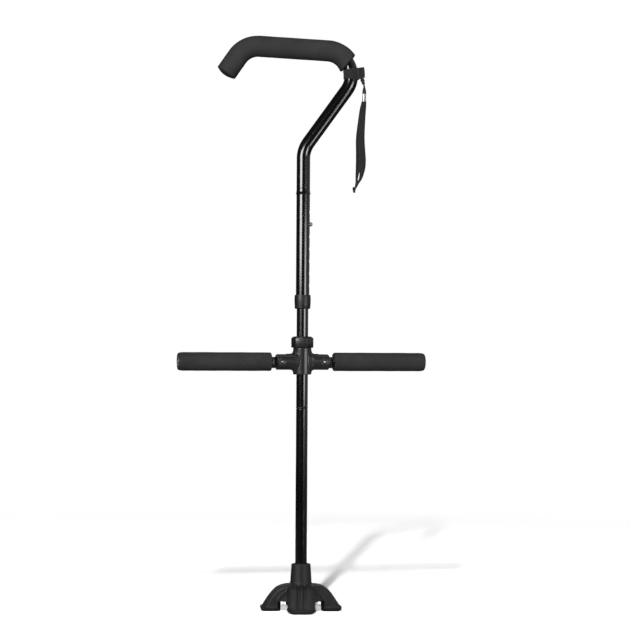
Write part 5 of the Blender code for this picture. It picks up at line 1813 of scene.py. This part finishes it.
# %% [markdown]
# ## Wrist strap: hanging loop
#
# The loop is one length of narrow webbing, doubled. Its two runs hang almost flat against each other, the
# near one a little to the right, and both are gathered into the crimp above and the knot below. Cloth
# simulation would make it swing free, but the strap hangs still, so each run is drawn row by row from an
# edge with extrude, and every row is curled as much as its width asks.

# %% Hanging loop
STRAP_WIDTH = 0.0105
STRAP_THICKNESS = 0.0010
STRAP_COLUMNS = 8
STRAP_ROWS_BETWEEN = 4
STRAP_RUNS = {
    # x, y, z of the run's middle and its breadth there, from the crimp down to the knot
    -1: [
        (0.0985, -0.0012, 0.8303, 0.0060), (0.0980, -0.0012, 0.8268, 0.0076),
        (0.0966, -0.0014, 0.8160, 0.0098), (0.0955, -0.0016, 0.8040, 0.0104),
        (0.0943, -0.0020, 0.7720, 0.0104), (0.0955, -0.0026, 0.7500, 0.0104),
        (0.0966, -0.0028, 0.7330, 0.0104), (0.0963, -0.0026, 0.7210, 0.0092),
        (0.0950, -0.0020, 0.7110, 0.0064), (0.0929, -0.0014, 0.7030, 0.0044),
        (0.0893, -0.0010, 0.6970, 0.0034), (0.0862, -0.0006, 0.6905, 0.0026),
        (0.0844, -0.0004, 0.6875, 0.0022),
    ],
    1: [
        (0.0983, 0.0012, 0.8303, 0.0060), (0.0976, 0.0012, 0.8268, 0.0074),
        (0.0959, 0.0013, 0.8160, 0.0096), (0.0945, 0.0014, 0.8040, 0.0104),
        (0.0906, 0.0016, 0.7720, 0.0104), (0.0906, 0.0020, 0.7500, 0.0104),
        (0.0905, 0.0022, 0.7330, 0.0100), (0.0894, 0.0020, 0.7210, 0.0078),
        (0.0878, 0.0016, 0.7110, 0.0048), (0.0870, 0.0012, 0.7030, 0.0032),
        (0.0868, 0.0010, 0.6970, 0.0030), (0.0854, 0.0006, 0.6905, 0.0024),
        (0.0840, 0.0004, 0.6875, 0.0022),
    ],
}


def curl_for(breadth):
    """Half angle of the arc, and width of the cloth, that shows this breadth."""
    width = min(STRAP_WIDTH, breadth * pi / 2)
    low, high = 0.01, pi / 2
    for _ in range(24):
        middle = (low + high) / 2
        low, high = (middle, high) if width * sin(middle) / middle > breadth else (low, middle)
    return low, width


def place_row(verts, row, side, across):
    """Lays one row of points on its arc, the hollow towards the other run."""
    curl, width = curl_for(row[3])
    radius = width / 2 / curl
    for vert in verts:
        turn = 2 * curl * vert[across] / STRAP_WIDTH
        bow = side * radius * (cos(turn) - 1)
        vert.co = (row[0] + radius * sin(turn), row[1] + bow, row[2])


bm = bmesh.new()
across, along = cloth_layers(bm)
strap_length = 0.0
for side, rows in STRAP_RUNS.items():
    rows = list(eased(rows, STRAP_ROWS_BETWEEN))
    chain, edges = drawn_line(bm, [(0, 0, 0)] * (STRAP_COLUMNS + 1))
    for index, vert in enumerate(chain):
        vert[across] = STRAP_WIDTH * (index / STRAP_COLUMNS - 0.5)
    place_row(chain, rows[0], side, across)
    for before, row in zip(rows, rows[1:]):
        strap_length += (row.xyz - before.xyz).length
        fresh, edges = drawn_out(bm, edges)
        place_row(fresh, row, side, across)
        for vert in fresh:
            vert[along] = strap_length
bmesh.ops.recalc_face_normals(bm, faces=bm.faces)
cloth_uv(bm, across, along)
strap = dress("wrist_loop_webbing", bm, "webbing", "handle_section", "wrist_strap", crease=pi)
cloth_thickness(strap, STRAP_THICKNESS)
print("strap cut", STRAP_WIDTH * 1000, "x", round(strap_length * 1000), "mm")

# %% [markdown]
# Below the loop the two ends are tied in a small knot. A bead would do from afar, but a knot has a strand
# that passes over itself, so a rod follows a trefoil, the curve of an overhand knot, drawn out in height.

# %% Knot
KNOT_STRAND = 0.0014
KNOT_HALF = Vector((0.0029, 0.0026, 0.0056))
KNOT_STEPS = 96
low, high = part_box("strap_knot")
knot_middle = (low + high) / 2
knot_half = KNOT_HALF - Vector((1, 1, 1)) * KNOT_STRAND
trefoil = []
for i in range(KNOT_STEPS + 1):
    t = 2 * pi * i / KNOT_STEPS
    x, z = (sin(t) + 2 * sin(2 * t)) / 3, (cos(t) - 2 * cos(2 * t)) / 3
    bulge = Vector((x * knot_half.x, -sin(3 * t) * knot_half.y, z * knot_half.z))
    trefoil.append(knot_middle + bulge)
dress("end_knot", swept(trefoil, KNOT_STRAND, 12), "webbing", "handle_section", "strap_knot",
      finish=sewing_thread, crease=pi)

# %% [markdown]
# ## Sizes
#
# The dressed cane has to fill the same space as its solids, so its box is printed.

# %% Print the dressed box
low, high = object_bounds()
print("dressed box", [round(v, 4) for v in (*low, *high)])
